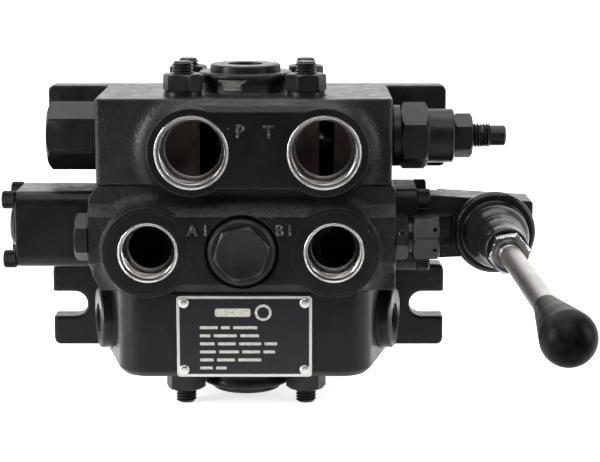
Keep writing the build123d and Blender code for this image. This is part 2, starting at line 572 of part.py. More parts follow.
# ---------------------------------------------------------- main relief valve
def relief_valve():
    """Cartridge body, adjusting screw, lock nut, poppet and spring of the main relief."""
    face = (INLET_HALF, RELIEF_Y, RELIEF_Z)
    hexagon_length = CARTRIDGE_HEX - CARTRIDGE_SHOULDER
    sleeve_length = CARTRIDGE_END - CARTRIDGE_HEX
    body = rod(face, RIGHT, RELIEF_FLATS / 2 - 0.3, CARTRIDGE_COLLAR)
    body += rod(along(face, RIGHT, CARTRIDGE_COLLAR), RIGHT, 15.0, CARTRIDGE_SHOULDER - CARTRIDGE_COLLAR)
    body += hex_head(along(face, RIGHT, CARTRIDGE_SHOULDER), RIGHT, RELIEF_FLATS, hexagon_length,
                     RELIEF_TURN, UP, both_ends=True)
    outline = [(0, SLEEVE_R), (sleeve_length - 1, SLEEVE_R), (sleeve_length, SLEEVE_R - 1)]
    body += turned(along(face, RIGHT, CARTRIDGE_HEX), RIGHT, outline)
    inner = INLET_HALF - RELIEF_BORE_END - 4
    body += rod(face, LEFT, RELIEF_BORE_R - 0.1, inner - 10)
    body += rod(face, LEFT, RELIEF_BORE_R - 2.0, inner)
    # Spring chamber and screw hole
    body -= rod(along(face, LEFT, inner + 1), RIGHT, SPRING_CHAMBER_R, inner + CARTRIDGE_HEX + 1)
    body -= rod(along(face, RIGHT, CARTRIDGE_HEX - 1), RIGHT, SCREW_R + 0.1, sleeve_length + 2)
    keep("relief_valve_body", body)
    seat = along(face, RIGHT, CARTRIDGE_END)
    locknut = hex_head(seat, RIGHT, LOCK_NUT_FLATS, LOCK_NUT_END - CARTRIDGE_END, 0.0, UP, both_ends=True)
    keep("relief_lock_nut", locknut - rod(along(seat, LEFT, 1), RIGHT, SCREW_R + 0.1, 12.0))
    outline = [(14.0, 7.2), (18.0, 7.2), (18.0, SCREW_R), (SCREW_THREAD_END - 0.8, SCREW_R)]
    outline += [(SCREW_THREAD_END, SCREW_TIP_R), (SCREW_END - 0.8, SCREW_TIP_R)]
    outline.append((SCREW_END, SCREW_TIP_R - 0.8))
    tip = along(face, RIGHT, SCREW_END)
    keep("relief_adjusting_screw", turned(face, RIGHT, outline) - hexagon(tip, LEFT, 5.0, 6.0))
    # Poppet closes the pressure gallery at the inner end of the stepped bore
    seat = (RELIEF_SEAT_X, RELIEF_Y, RELIEF_Z)
    outline = [(-3.0, RELIEF_SEAT_R - 1.2), (0.0, RELIEF_SEAT_R - 0.2), (0.02, 7.0), (5.0, 7.0), (5.0, 4.2)]
    outline += [(POPPET_LENGTH, 4.2), (POPPET_LENGTH, 6.9), (POPPET_LENGTH + 3, 6.9)]
    outline += [(POPPET_LENGTH + 3, 3.0), (POPPET_LENGTH + 9, 3.0)]
    keep("relief_poppet", turned(along(seat, RIGHT, 0.05), RIGHT, outline))
    start = RELIEF_SEAT_X + POPPET_LENGTH + 3.15
    length = INLET_HALF + 13.9 - start
    keep("relief_spring", coil((start, RELIEF_Y, RELIEF_Z), RIGHT, 5.3, 1.2, length, 7))


# ------------------------------------------------------- port relief and check
def port_relief():
    """Cartridge and sealed cap on the right, blanking plug on the left."""
    face = (WORK_RIGHT, PORT_RELIEF_Y, PORT_RELIEF_Z)
    neck = along(face, RIGHT, BASE_LENGTH)
    cap_face = along(neck, RIGHT, 2.1)
    body = hex_head(face, RIGHT, BASE_FLATS, BASE_LENGTH, BASE_TURN, UP)
    body += rod(face, LEFT, PORT_RELIEF_R - 0.1, SIDE_BORE_DEPTH - 1)
    body += rod(neck, RIGHT, 7.4, 2.1)
    body += rod(cap_face, RIGHT, 4.0, 7.0)
    keep("port_relief_cartridge", body - rod(along(face, LEFT, 15), RIGHT, 3.0, 16.0))
    cap = hex_head(cap_face, RIGHT, CAP_FLATS, CAP_LENGTH, CAP_TURN, UP, both_ends=True)
    cap -= rod(along(cap_face, LEFT, 1), RIGHT, 4.1, 8.6)
    for turn in (-30, 30):
        tilt = (0, -cos(radians(turn)), sin(radians(turn)))
        cap -= rod(along(along(cap_face, RIGHT, 10.6), tilt, 5.0), tilt, 0.8, 8.0)
    keep("port_relief_cap", cap)
    left = (WORK_LEFT, PORT_RELIEF_Y, PORT_RELIEF_Z)
    plug = hex_head(left, LEFT, LEFT_PLUG_FLATS, LEFT_PLUG_LENGTH, 0.0, UP)
    keep("port_relief_plug_left", plug + rod(left, RIGHT, PORT_RELIEF_R - 0.1, SIDE_BORE_DEPTH - 1))


def load_check():
    """Plug, poppet and spring of the load check."""
    face = (CHECK_X, PORT_FACE + SPOT_DEPTH, CHECK_Z)
    plug = turned(face, FRONT, [(0, CHECK_COLLAR_R), (1.6, CHECK_COLLAR_R), (3.2, CHECK_COLLAR_R - 1.4)])
    plug += hex_head(along(face, FRONT, 3.2), FRONT, CHECK_FLATS, 3.2, CHECK_TURN, RIGHT)
    plug += rod(face, BACK, CHECK_BORE_R - 0.1, 13.0)
    keep("load_check_plug", plug - rod(along(face, BACK, 3.0), BACK, 5.2, 12.0))
    seat = (CHECK_X, CHECK_SEAT_Y - 0.05, CHECK_Z)
    outline = [(-3.0, CHECK_SEAT_R - 1.0), (0, CHECK_SEAT_R - 0.1), (0.02, 7.2), (4.0, 7.2)]
    outline += [(4.0, 5.0), (17.0, 5.0)]
    poppet = turned(seat, FRONT, outline) - rod(along(seat, FRONT, 6.0), FRONT, 3.8, 12.0)
    keep("load_check_poppet", poppet)
    keep("load_check_spring", coil(along(seat, FRONT, 6.2), FRONT, 3.0, 0.4, 17.6, 8))


# -------------------------------------------------- spool and left positioner
def spool():
    """Spool with its metering lands and the slotted end that the lever ball drives."""
    start = (SPOOL_LEFT, SPOOL_Y, SPOOL_Z)
    land = SPOOL_R - 0.02
    outline = [(0, land)]
    for x in METERING_XS:
        at = x - SPOOL_LEFT
        outline += [(at - 5.0, land), (at - 4.0, SPOOL_STEM_R), (at + 4.0, SPOOL_STEM_R), (at + 5.0, land)]
    tail = SPOOL_TAIL - SPOOL_LEFT
    outline += [(tail, land), (tail + 1, SPOOL_TAIL_R), (SPOOL_RIGHT - SPOOL_LEFT, SPOOL_TAIL_R)]
    body = turned(start, RIGHT, outline)
    centre = (PIVOT[0], SPOOL_Y, SPOOL_Z)
    body += turned(along(centre, LEFT, 9.0), RIGHT, [(0, SPOOL_TAIL_R), (1, 7.4), (17, 7.4), (18, 6.4)])
    # Cross slot that takes the lever's ball end, open toward the front
    x0, x1 = PIVOT[0] - BALL_R - 0.15, PIVOT[0] + BALL_R + 0.15
    body -= block(x0, x1, SPOOL_Y - 9, SPOOL_Y + 5.2, SPOOL_Z - 5.1, SPOOL_Z + 5.1)
    body -= block(x0 - 6, x1 + 6, SPOOL_Y - 9, SPOOL_Y - 4.8, SPOOL_Z - 9, SPOOL_Z + 9)
    # Tapped hole for the centring spring screw
    return body - rod(along(start, LEFT, 1), RIGHT, 4.0, 17.0)


def spring_seat(place, toward):
    """Flanged seat that the centring spring pushes on."""
    body = turned(place, toward, [(0, 11.6), (2.0, 11.6), (2.0, 7.4), (6.0, 7.4)])
    return body - rod(along(place, toward, -1), toward, 4.1, 8.0)


def positioner():
    """Left housing with its domed cap, spring, seats and screws."""
    plane = Plane((WORK_LEFT, SPOOL_Y, SPOOL_Z), x_dir=BACK, z_dir=LEFT)
    length = WORK_LEFT - HOUSING_END
    sketch = plane * RectangleRounded(2 * HOUSING_HALF, 2 * HOUSING_HALF, HOUSING_CORNER_R)
    body = extrude(sketch, length, dir=LEFT)
    body -= rod((WORK_LEFT + 1, SPOOL_Y, SPOOL_Z), LEFT, HOUSING_BORE_R, length - 1)
    body -= rod((HOUSING_END - 1, SPOOL_Y, SPOOL_Z), RIGHT, 9.0, 6.0)
    for y, z in screw_places(LEFT_SCREW_SPREAD):
        body -= rod((WORK_LEFT + 1, y, z), LEFT, LEFT_SCREW_R + 0.15, length + 2)
    keep("positioner_housing", body)
    outline = [(-3.6, 8.8), (0.0, 8.8), (0.0, 11.0), (1.6, 11.0), (3.2, 9.8), (4.2, 7.0), (4.6, 3.0)]
    keep("positioner_end_cap", turned((HOUSING_END, SPOOL_Y, SPOOL_Z), LEFT, outline))
    screws = [cap_screw((HOUSING_END, y, z), LEFT, LEFT_SCREW_R, 4.4, 6.2, length + SCREW_DEPTH - 1, 4.0)
              for y, z in screw_places(LEFT_SCREW_SPREAD)]
    keep("positioner_screws", screws)
    # Screw in the spool end, two seats and the centring spring
    place = (SPOOL_LEFT, SPOOL_Y, SPOOL_Z)
    head = CENTRING_LENGTH + 0.1
    screw = turned(place, LEFT, [(-14.0, 3.9), (head, 3.9), (head, 6.0), (head + 4.0, 6.0)])
    screw -= hexagon(along(place, LEFT, head + 4.0), RIGHT, 6.0, 3.0)
    keep("spool_cap_screw", screw)
    near = spring_seat(along(place, LEFT, 0.1), LEFT)
    far = spring_seat(along(place, LEFT, CENTRING_LENGTH), RIGHT)
    keep("spring_seats", [near, far])
    keep("centering_spring", coil(along(place, LEFT, 2.2), LEFT, 9.0, 1.1, CENTRING_LENGTH - 4.3, 4))


# --------------------------------------------------------------- lever box
def lever_box():
    """Flanged housing of the lever with the round neck that the boot grips."""
    x, y, z = PIVOT
    plane = Plane((WORK_RIGHT, SPOOL_Y, SPOOL_Z), x_dir=BACK, z_dir=RIGHT)
    sketch = plane * RectangleRounded(2 * FLANGE_HALF, 2 * FLANGE_HALF, FLANGE_CORNER_R)
    body = extrude(sketch, FLANGE_THICK, dir=RIGHT)
    arm = Polyline((BOX_LEFT - 1, 17.0), (BOX_END - 1, 13.5), (BOX_END, 12.5), (BOX_END, -11.6),
                   (BOX_END - 1, -12.6), (BOX_LEFT - 1, -15.2), close=True)
    body += Pos(0, BOX_BACK, 0) * extrude(make_face(Plane.XZ * arm), BOX_BACK - BOX_FRONT, dir=FRONT)
    neck = [(0, NECK_R), (BOX_FRONT + 1 - NECK_FRONT, NECK_R)]
    body += turned((x, BOX_FRONT + 1, z), FRONT, neck)
    body -= block(86.0, 101.0, BOX_FRONT - 1, BOX_FRONT + RECESS_DEPTH, -7.4, 6.6)
    # Spool tunnel, lever cavity, neck bore and pivot pin hole
    body -= rod((WORK_RIGHT - 1, SPOOL_Y, SPOOL_Z), RIGHT, SPOOL_R + 0.4, FLANGE_THICK + 0.6)
    body -= rod((WORK_RIGHT, SPOOL_Y, SPOOL_Z), RIGHT, TUNNEL_R, CAVITY_X - WORK_RIGHT + 1)
    body -= rod((CAVITY_X, SPOOL_Y, SPOOL_Z), RIGHT, CAVITY_R, 32.0)
    neck_bore = rod((x, NECK_FRONT - 1, z), BACK, NECK_BORE_R, 31.0)
    body -= neck_bore & block(x - 20, x + 20, NECK_FRONT - 1, BOX_BACK, z - 10.5, z + 10.5)
    body -= rod((x, NECK_FRONT - 1, z), BACK, NECK_BORE_R, 3.0)
    body -= rod((x, y, z - PIN_HALF - 0.2), UP, PIN_R + 0.05, 2 * PIN_HALF + 4)
    for sy, sz in screw_places(RIGHT_SCREW_SPREAD):
        body -= rod((WORK_RIGHT - 1, sy, sz), RIGHT, RIGHT_SCREW_R + 0.2, FLANGE_THICK + 1)
        body -= rod((BOX_LEFT, sy, sz), RIGHT, 5.4, 12.0)
    keep("lever_box", body)
    length = FLANGE_THICK + SCREW_DEPTH - 1
    screws = [cap_screw((BOX_LEFT, sy, sz), RIGHT, RIGHT_SCREW_R, 4.9, 6.4, length, 5.0)
              for sy, sz in screw_places(RIGHT_SCREW_SPREAD)]
    keep("lever_box_screws", screws)
    keep("lever_pivot_pin", rod((x, y, z - PIN_HALF), UP, PIN_R, 2 * PIN_HALF))


# -------------------------------------------------------------------- lever
def lever():
    """Hub with its ball arm, hand rod, lock nut and knob."""
    x, y, z = PIVOT
    hub = rod((x, y, z - HUB_HALF), UP, HUB_R, 2 * HUB_HALF)
    hub += rod(PIVOT, BACK, BALL_ARM_R, BALL_ARM)
    hub += Pos(x, y + BALL_ARM, z) * Sphere(BALL_R)
    hub += turned(PIVOT, LEVER_AXIS, [(0, 6.6), (12, 6.6), (20, STEM_R), (HUB_FRONT, STEM_R)])
    hub -= rod((x, y, z - HUB_HALF - 1), UP, PIN_R + 0.08, 2 * HUB_HALF + 2)
    hub -= rod(along(PIVOT, LEVER_AXIS, LEVER_ROD_START - 1), LEVER_AXIS, LEVER_ROD_R + 0.1, 40.0)
    keep("lever_hub", hub)
    length = KNOB_START + KNOB_HOLE_DEPTH - 0.1 - LEVER_ROD_START
    outline = [(0, LEVER_ROD_R - 0.6), (0.6, LEVER_ROD_R), (length, LEVER_ROD_R)]
    keep("lever_rod", turned(along(PIVOT, LEVER_AXIS, LEVER_ROD_START), LEVER_AXIS, outline))
    place = along(PIVOT, LEVER_AXIS, LEVER_NUT_START)
    lock = hex_head(place, LEVER_AXIS, LEVER_NUT_FLATS, LEVER_NUT_HEIGHT, LEVER_NUT_TURN, both_ends=True)
    hole = rod(along(place, LEVER_AXIS, -1), LEVER_AXIS, LEVER_ROD_R + 0.1, LEVER_NUT_HEIGHT + 3)
    keep("lever_lock_nut", lock - hole)
    keep("lever_knob", knob())


def knob():
    """Tapered ball knob: a cone tangent to the ball at its end."""
    centre = KNOB_LENGTH - KNOB_R
    away = hypot(KNOB_NECK_R, centre)
    angle = atan2(-centre, KNOB_NECK_R) + acos(KNOB_R / away)
    touch = (KNOB_R * cos(angle), centre + KNOB_R * sin(angle))
    side = (KNOB_R * cos(pi / 4), centre + KNOB_R * sin(pi / 4))
    tip = (0, KNOB_LENGTH)
    outline = Polyline((0, 0), (KNOB_NECK_R, 0), touch)
    outline += ThreePointArc(touch, side, tip) + Line(tip, (0, 0))
    body = revolve(make_face(Plane.XZ * outline), Axis.Z)
    base = (Align.CENTER, Align.CENTER, Align.MIN)
    body -= Cylinder(LEVER_ROD_R + 0.02, KNOB_HOLE_DEPTH, align=base)
    return Plane(along(PIVOT, LEVER_AXIS, KNOB_START), z_dir=LEVER_AXIS) * body


def dust_boot():
    """Rubber boot from the neck to the hub, from (distance in front of the pivot, radius) points."""
    outer = [(0.0, 18.4), (4.2, 18.4), (4.6, 19.8), (8.6, 19.8), (9.6, 18.8), (10.8, 15.6)]
    outer += [(14.0, 14.8), (18.0, 15.2), (22.0, 14.6), (26.0, 12.6), (30.0, 11.6), (34.0, 11.2)]
    outer += [(44.0, 10.4), (53.5, 10.0), (54.5, 9.4)]
    inner = [(54.5, 8.2), (44.0, 8.3), (31.0, 9.4), (25.0, 10.8), (21.0, 12.8), (15.0, 12.8)]
    inner += [(11.0, 13.6), (8.0, 15.8), (5.0, 17.3), (0.0, 17.3)]
    points = [(radius, forward) for forward, radius in outer + inner]
    face = make_face(Plane.XZ * Polyline(*points, close=True))
    return Plane(PIVOT, z_dir=LEVER_AXIS) * revolve(face, Axis.Z)


# ---------------------------------------------------------------- name plate
def nameplate():
    """Plain plate on the end section with four domed rivets."""
    middle = (PLATE_TOP + PLATE_BOTTOM) / 2
    plane = Plane((0, END_FRONT, middle), x_dir=RIGHT, z_dir=FRONT)
    sheet = plane * RectangleRounded(2 * PLATE_HALF, PLATE_TOP - PLATE_BOTTOM, 1.5)
    plate = extrude(sheet, PLATE_THICK, dir=FRONT)
    rivets = []
    for x, z in rivet_places():
        place = (x, END_FRONT - PLATE_THICK, z)
        plate -= rod(along(place, FRONT, 1), BACK, RIVET_SHANK_R + 0.05, 3.0)
        head = turned(place, FRONT, [(0, RIVET_R), (0.5, 2.2), (0.9, 1.4), (1.1, 0.3)])
        rivets.append(head + rod(place, BACK, RIVET_SHANK_R, PLATE_THICK + RIVET_DEPTH))
    keep("nameplate", plate)
    keep("nameplate_rivets", rivets)


keep("inlet_section", inlet_section())
keep("work_section", work_section())
keep("end_section", end_section())
stack_fasteners()
plugs_and_seals()
relief_valve()
port_relief()
load_check()
keep("spool", spool())
positioner()
lever_box()
lever()
keep("dust_boot", dust_boot())
nameplate()

os.makedirs("parts", exist_ok=True)
for name, shape in PIECES.items():
    if isinstance(shape, list):
        shape = Compound(children=shape)
    export_step(shape, "parts/" + name + ".step")
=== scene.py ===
import json
from math import cos, pi, radians, sin, tan

import bmesh
import bpy
import numpy as np
from mathutils import Matrix, Vector


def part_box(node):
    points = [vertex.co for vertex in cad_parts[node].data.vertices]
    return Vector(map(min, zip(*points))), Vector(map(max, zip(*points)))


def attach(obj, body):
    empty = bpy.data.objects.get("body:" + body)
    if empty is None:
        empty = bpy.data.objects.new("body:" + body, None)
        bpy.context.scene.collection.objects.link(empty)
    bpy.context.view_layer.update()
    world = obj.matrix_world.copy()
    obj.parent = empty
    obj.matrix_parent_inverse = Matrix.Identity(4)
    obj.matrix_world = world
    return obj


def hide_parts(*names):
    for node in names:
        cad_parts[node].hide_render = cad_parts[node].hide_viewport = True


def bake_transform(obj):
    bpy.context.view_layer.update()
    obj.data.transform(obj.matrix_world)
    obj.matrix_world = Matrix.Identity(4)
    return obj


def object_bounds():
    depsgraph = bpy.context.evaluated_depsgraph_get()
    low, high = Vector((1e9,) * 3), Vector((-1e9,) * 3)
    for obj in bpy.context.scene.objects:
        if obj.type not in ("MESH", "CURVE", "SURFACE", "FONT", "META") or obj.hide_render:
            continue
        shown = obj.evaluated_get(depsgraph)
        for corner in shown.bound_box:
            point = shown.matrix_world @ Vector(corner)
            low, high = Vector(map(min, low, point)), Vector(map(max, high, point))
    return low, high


# Looks of the stacked directional valve. Lengths in this script are millimetres in the
# CAD frame, +X right, +Y back, +Z up, and become metres when a mesh is made.
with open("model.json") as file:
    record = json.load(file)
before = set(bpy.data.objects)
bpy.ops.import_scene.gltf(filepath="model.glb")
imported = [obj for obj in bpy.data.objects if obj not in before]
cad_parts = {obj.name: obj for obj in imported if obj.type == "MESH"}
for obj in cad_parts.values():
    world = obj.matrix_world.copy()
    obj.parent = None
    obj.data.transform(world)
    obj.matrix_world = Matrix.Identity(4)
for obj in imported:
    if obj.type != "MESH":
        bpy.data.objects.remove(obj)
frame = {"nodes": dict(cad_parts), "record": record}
cad_low, cad_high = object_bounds()
MM = 0.001
NODES = frame["nodes"]
RECORD = frame["record"]
X, Y, Z = Vector((1, 0, 0)), Vector((0, 1, 0)), Vector((0, 0, 1))

# Places that the record states
PORTS = {m["name"]: m for m in RECORD["mounts"] if m["kind"] == "threaded_hole"}
JOINTS = {j["name"]: j for j in RECORD["behaviour"]["joints"]}
PIVOT = Vector(JOINTS["lever_swing"]["pos_m"]) / MM
SLOT_OF = {s["node"]: s["material_slot"] for s in RECORD["subparts"]}


def low(node):
    """Lowest corner of a node's box."""
    return Vector(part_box(node)[0]) / MM


def high(node):
    """Highest corner of a node's box."""
    return Vector(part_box(node)[1]) / MM


# Driving dimensions that a node's box doesn't give.
# Ports: lining radii, depths from the port face and the height that parts upper from lower
PORT_FACE = low("inlet_section").y
LARGE_LINER_R, SMALL_LINER_R = 17.35, 14.2
LINER_DEPTH, THREAD_DEPTH, LIP = 16.2, 13.8, 2.0
SEAT_DEPTH, UPPER_ROW, BORE_END = 3.2, 20.0, -20.0
PORT_PITCH = 2.117
# Tie rods and their nuts
ROD_X, ROD_YS, ROD_R, ROD_PITCH = 29.4, (-58.0, -13.0), 5.0, 1.5
ROD_TOPS = (high("tie_rods").z, high("tie_rods").z - 2.3)
NUT_FLATS, NUT_HEIGHT = 17.0, 8.4
NUT_TURNS = (-12, 20, 8, 33)
# Faces that the side fittings sit on, and the lines of the spool and the two reliefs
INLET_SIDE, WORK_LEFT, WORK_RIGHT, BOX_SEAT = 70.0, -74.0, 72.0, 83.0
SPOOL_Y, SPOOL_Z = -40.0, 0.5
RELIEF_Y, RELIEF_Z = -38.0, 44.3
PORT_RELIEF_Y, PORT_RELIEF_Z = -72.0, 0.1
# Hexagons across their flats, and how far each is turned, in degrees
RELIEF_FLATS, RELIEF_TURN = 29.0, 5.0
BLANK_FLATS, BLANK_TURN = 29.0, -6.0
LOCK_FLATS, SCREW_R, SCREW_PITCH = 19.0, 6.0, 1.5
CHECK_FLATS, CHECK_TURN, CHECK_COLLAR_R = 24.0, -13.0, 16.0
BASE_FLATS, BASE_TURN = 19.0, 42.0
CAP_FLATS, CAP_TURN, LEFT_PLUG_FLATS = 19.6, 30.0, 20.0
LEVER_NUT_FLATS, LEVER_NUT_TURN = 17.0, 10.0
# Hand lever: distances along its axis from the pivot
LEVER_R, LEVER_START, LEVER_END = 4.95, 42.0, 193.9
LEVER_LEAN, LEVER_RISE = radians(0.85), radians(0.45)
LEVER_AXIS = Vector((sin(LEVER_LEAN), -cos(LEVER_LEAN), sin(LEVER_RISE))).normalized()
# Sides of a spring's wire, and the drill's feed marks
WIRE_SIDES, FEED_MARK = 10, 0.45


# ------------------------------------------------------------------ camera and studio
CAMERA_PLACE = Vector((26.5, -908.12, 156.98))
CAMERA_PITCH = radians(10.443)
CAMERA_LENS, SENSOR_WIDTH = 107.1, 36.0


def camera():
    """Camera a little under a metre in front of the valve, looking slightly down."""
    data = bpy.data.cameras.new("camera")
    data.sensor_width = SENSOR_WIDTH
    data.lens = CAMERA_LENS
    data.clip_end = 50.0
    cam = bpy.data.objects.new("camera", data)
    cam.location = CAMERA_PLACE * MM
    cam.rotation_euler = (pi / 2 - CAMERA_PITCH, 0, 0)
    bpy.context.scene.collection.objects.link(cam)
    bpy.context.scene.camera = cam


def softbox(name, place, width, height, power):
    """Rectangular area light, in metres and watts, that points at the valve."""
    data = bpy.data.lights.new(name, "AREA")
    data.shape = "RECTANGLE"
    data.size, data.size_y, data.energy = width, height, power
    lamp = bpy.data.objects.new(name, data)
    lamp.location = place
    lamp.rotation_mode = "QUATERNION"
    lamp.rotation_quaternion = (-Vector(place)).to_track_quat("-Z", "Y")
    bpy.context.scene.collection.objects.link(lamp)


def map_range(nodes, links, source, ends):
    """Clamped linear map of a value, from the first two ends to the last two."""
    node = nodes.new("ShaderNodeMapRange")
    for key, value in zip(("From Min", "From Max", "To Min", "To Max"), ends):
        node.inputs[key].default_value = value
    links.new(source, node.inputs["Value"])
    return node.outputs[0]


def axis_ramp(nodes, links, source, axis, ends):
    """Clamped ramp along one axis of a vector."""
    split = nodes.new("ShaderNodeSeparateXYZ")
    links.new(source, split.inputs[0])
    return map_range(nodes, links, split.outputs[axis], ends)


def added(nodes, links, first, second):
    """Sum of two values."""
    total = nodes.new("ShaderNodeMath")
    total.operation = "ADD"
    links.new(first, total.inputs[0])
    links.new(second, total.inputs[1])
    return total.outputs[0]


def surroundings():
    """White room, brightest behind and above the valve, dark in front of it."""
    world = bpy.data.worlds.new("studio")
    bpy.context.scene.world = world
    world.use_nodes = True
    nodes, links = world.node_tree.nodes, world.node_tree.links
    nodes.clear()
    coord = nodes.new("ShaderNodeTexCoord").outputs["Generated"]
    behind = axis_ramp(nodes, links, coord, "Y", (0.05, 0.95, 0.01, 2.4))
    above = axis_ramp(nodes, links, coord, "Z", (0.05, 0.9, 0.0, 0.2))
    room = nodes.new("ShaderNodeBackground")
    out = nodes.new("ShaderNodeOutputWorld")
    links.new(added(nodes, links, behind, above), room.inputs["Strength"])
    links.new(room.outputs[0], out.inputs[0])


def floor_white():
    """White floor that glows like a light table, less so in front of the valve."""
    finish = Finish("floor_white", (0.9, 0.9, 0.9), 0.0, 0.9, specular=0.1)
    nodes, links, coord = finish.nodes, finish.links, finish.coord
    finish.shader.inputs["Emission Color"].default_value = (1, 1, 1, 1)
    near = axis_ramp(nodes, links, coord, "Y", (-0.30, -0.10, 0.0, 0.72))
    far = axis_ramp(nodes, links, coord, "Y", (-0.1, 2.5, 0.0, 0.2))
    links.new(added(nodes, links, near, far), finish.shader.inputs["Emission Strength"])
    # painted shade: the floor's colour also darkens in front of the valve, so that it throws less light back
    # onto the valve's front
    shade = axis_ramp(nodes, links, coord, "Y", (-0.45, -0.12, 0.20, 0.88))
    finish.colours(shade, [(0.0, (0, 0, 0)), (1.0, (1, 1, 1))])
    return finish.material


def studio():
    """Pale floor under the stud ends, soft lights and a plain white room."""
    surroundings()
    mesh = bpy.data.meshes.new("floor")
    half, front, back = 9.0, -2.5, 14.0
    gap = 0.0002
    corners = [(-half, front), (half, front), (half, back), (-half, back)]
    mesh.from_pydata([(x, y, cad_low.z - gap) for x, y in corners], [], [(0, 1, 2, 3)])
    floor = bpy.data.objects.new("floor", mesh)
    bpy.context.scene.collection.objects.link(floor)
    mesh.materials.append(floor_white())
    softbox("overhead", (0.0, 0.1, 1.15), 1.3, 0.8, 12)
    softbox("high_front", (-0.1, -0.72, 1.05), 1.3, 0.3, 8)
    softbox("left_side", (-1.2, -0.55, 0.35), 0.3, 0.9, 27)
    softbox("right_side", (1.25, -0.45, 0.45), 0.3, 0.9, 13)
    bpy.context.scene.view_settings.view_transform = "Standard"


# --------------------------------------------------------------------------- finishes
class Finish:
    """Principled material that can be given procedural colour, gloss and relief."""

    def __init__(self, name, colour, metallic, roughness, specular=0.5):
        self.material = bpy.data.materials.new(name)
        self.material.use_nodes = True
        self.nodes = self.material.node_tree.nodes
        self.links = self.material.node_tree.links
        self.shader = self.nodes["Principled BSDF"]
        self.shader.inputs["Base Color"].default_value = (*colour, 1)
        self.shader.inputs["Metallic"].default_value = metallic
        self.shader.inputs["Roughness"].default_value = roughness
        self.shader.inputs["Specular IOR Level"].default_value = specular
        self.coord = self.nodes.new("ShaderNodeTexCoord").outputs["Object"]
        self.height = None

    def noise(self, scale, detail=3.0, stretch=(1, 1, 1), rough=0.6):
        """Noise whose grain is 1/scale metres, stretched by axis factors."""
        mapping = self.nodes.new("ShaderNodeMapping")
        mapping.inputs["Scale"].default_value = stretch
        noise = self.nodes.new("ShaderNodeTexNoise")
        noise.inputs["Scale"].default_value = scale
        noise.inputs["Detail"].default_value = detail
        noise.inputs["Roughness"].default_value = rough
        self.links.new(self.coord, mapping.inputs["Vector"])
        self.links.new(mapping.outputs[0], noise.inputs["Vector"])
        return noise.outputs["Fac"]

    def spread(self, source, low_in, high_in, low_out, high_out):
        """Clamped linear map of a value."""
        return map_range(self.nodes, self.links, source, (low_in, high_in, low_out, high_out))

    def colours(self, source, stops):
        """Colour of the surface from (position, colour) stops along a value."""
        ramp = self.nodes.new("ShaderNodeValToRGB")
        elements = ramp.color_ramp.elements
        while len(elements) < len(stops):
            elements.new(0.5)
        for element, (place, colour) in zip(elements, stops):
            element.position = place
            element.color = (*colour, 1)
        self.links.new(source, ramp.inputs["Fac"])
        self.links.new(ramp.outputs["Color"], self.shader.inputs["Base Color"])
        return self

    def dust(self, source, size, colour):
        """Pale specks over the present colour wherever a value falls under a size."""
        mix = self.nodes.new("ShaderNodeMix")
        mix.data_type = "RGBA"
        under = self.shader.inputs["Base Color"].links[0].from_socket
        self.links.new(self.spread(source, size, size * 0.6, 0.0, 1.0), mix.inputs["Factor"])
        self.links.new(under, mix.inputs["A"])
        mix.inputs["B"].default_value = (*colour, 1)
        self.links.new(mix.outputs["Result"], self.shader.inputs["Base Color"])
        return self

    def gloss(self, source):
        """Roughness of the surface from a value."""
        self.links.new(source, self.shader.inputs["Roughness"])
        return self

    def relief(self, source, distance, strength=1.0):
        """Bump of a stated height in millimetres, on top of any earlier one."""
        bump = self.nodes.new("ShaderNodeBump")
        bump.inputs["Distance"].default_value = distance * MM
        bump.inputs["Strength"].default_value = strength
        self.links.new(source, bump.inputs["Height"])
        if self.height is not None:
            self.links.new(self.height, bump.inputs["Normal"])
        self.height = bump.outputs[0]
        self.links.new(self.height, self.shader.inputs["Normal"])
        return self


def cast_paint(name, grain, depth, tone):
    """Black satin paint over sand casting, with a few pale specks of dust."""
    finish = Finish(name, (0.012, 0.012, 0.012), 0.0, 0.36, specular=0.15)
    patches = finish.noise(45, 2.0)
    specks = finish.nodes.new("ShaderNodeTexVoronoi")
    specks.inputs["Scale"].default_value = 150
    finish.links.new(finish.coord, specks.inputs["Vector"])
    thin, thick = (0.4 * tone, 0.4 * tone, 0.42 * tone), (tone, tone, 1.04 * tone)
    finish.colours(patches, [(0.3, thin), (0.7, thick)])
    finish.dust(specks.outputs["Distance"], 0.035, (0.30, 0.29, 0.27))
    finish.gloss(finish.spread(finish.noise(160, 3.0), 0.3, 0.7, 0.26, 0.42))
    finish.relief(finish.noise(grain, 3.0, rough=0.6), depth, 1.0)
    finish.relief(finish.noise(grain / 3, 2.0), depth * 1.8, 1.0)
    return finish.material


def worn_cast(name="worn_cast"):
    """Paint rubbed through to bare iron on raised marks, partly real wear and partly a painted highlight that
    makes the raised letters read lighter.
    """
    finish = Finish(name, (0.05, 0.05, 0.05), 0.2, 0.4)
    finish.colours(finish.noise(700, 4.0), [(0.45, (0.008, 0.008, 0.008)), (0.70, (0.13, 0.13, 0.125))])
    finish.relief(finish.noise(1200, 3.0), 0.12)
    return finish.material


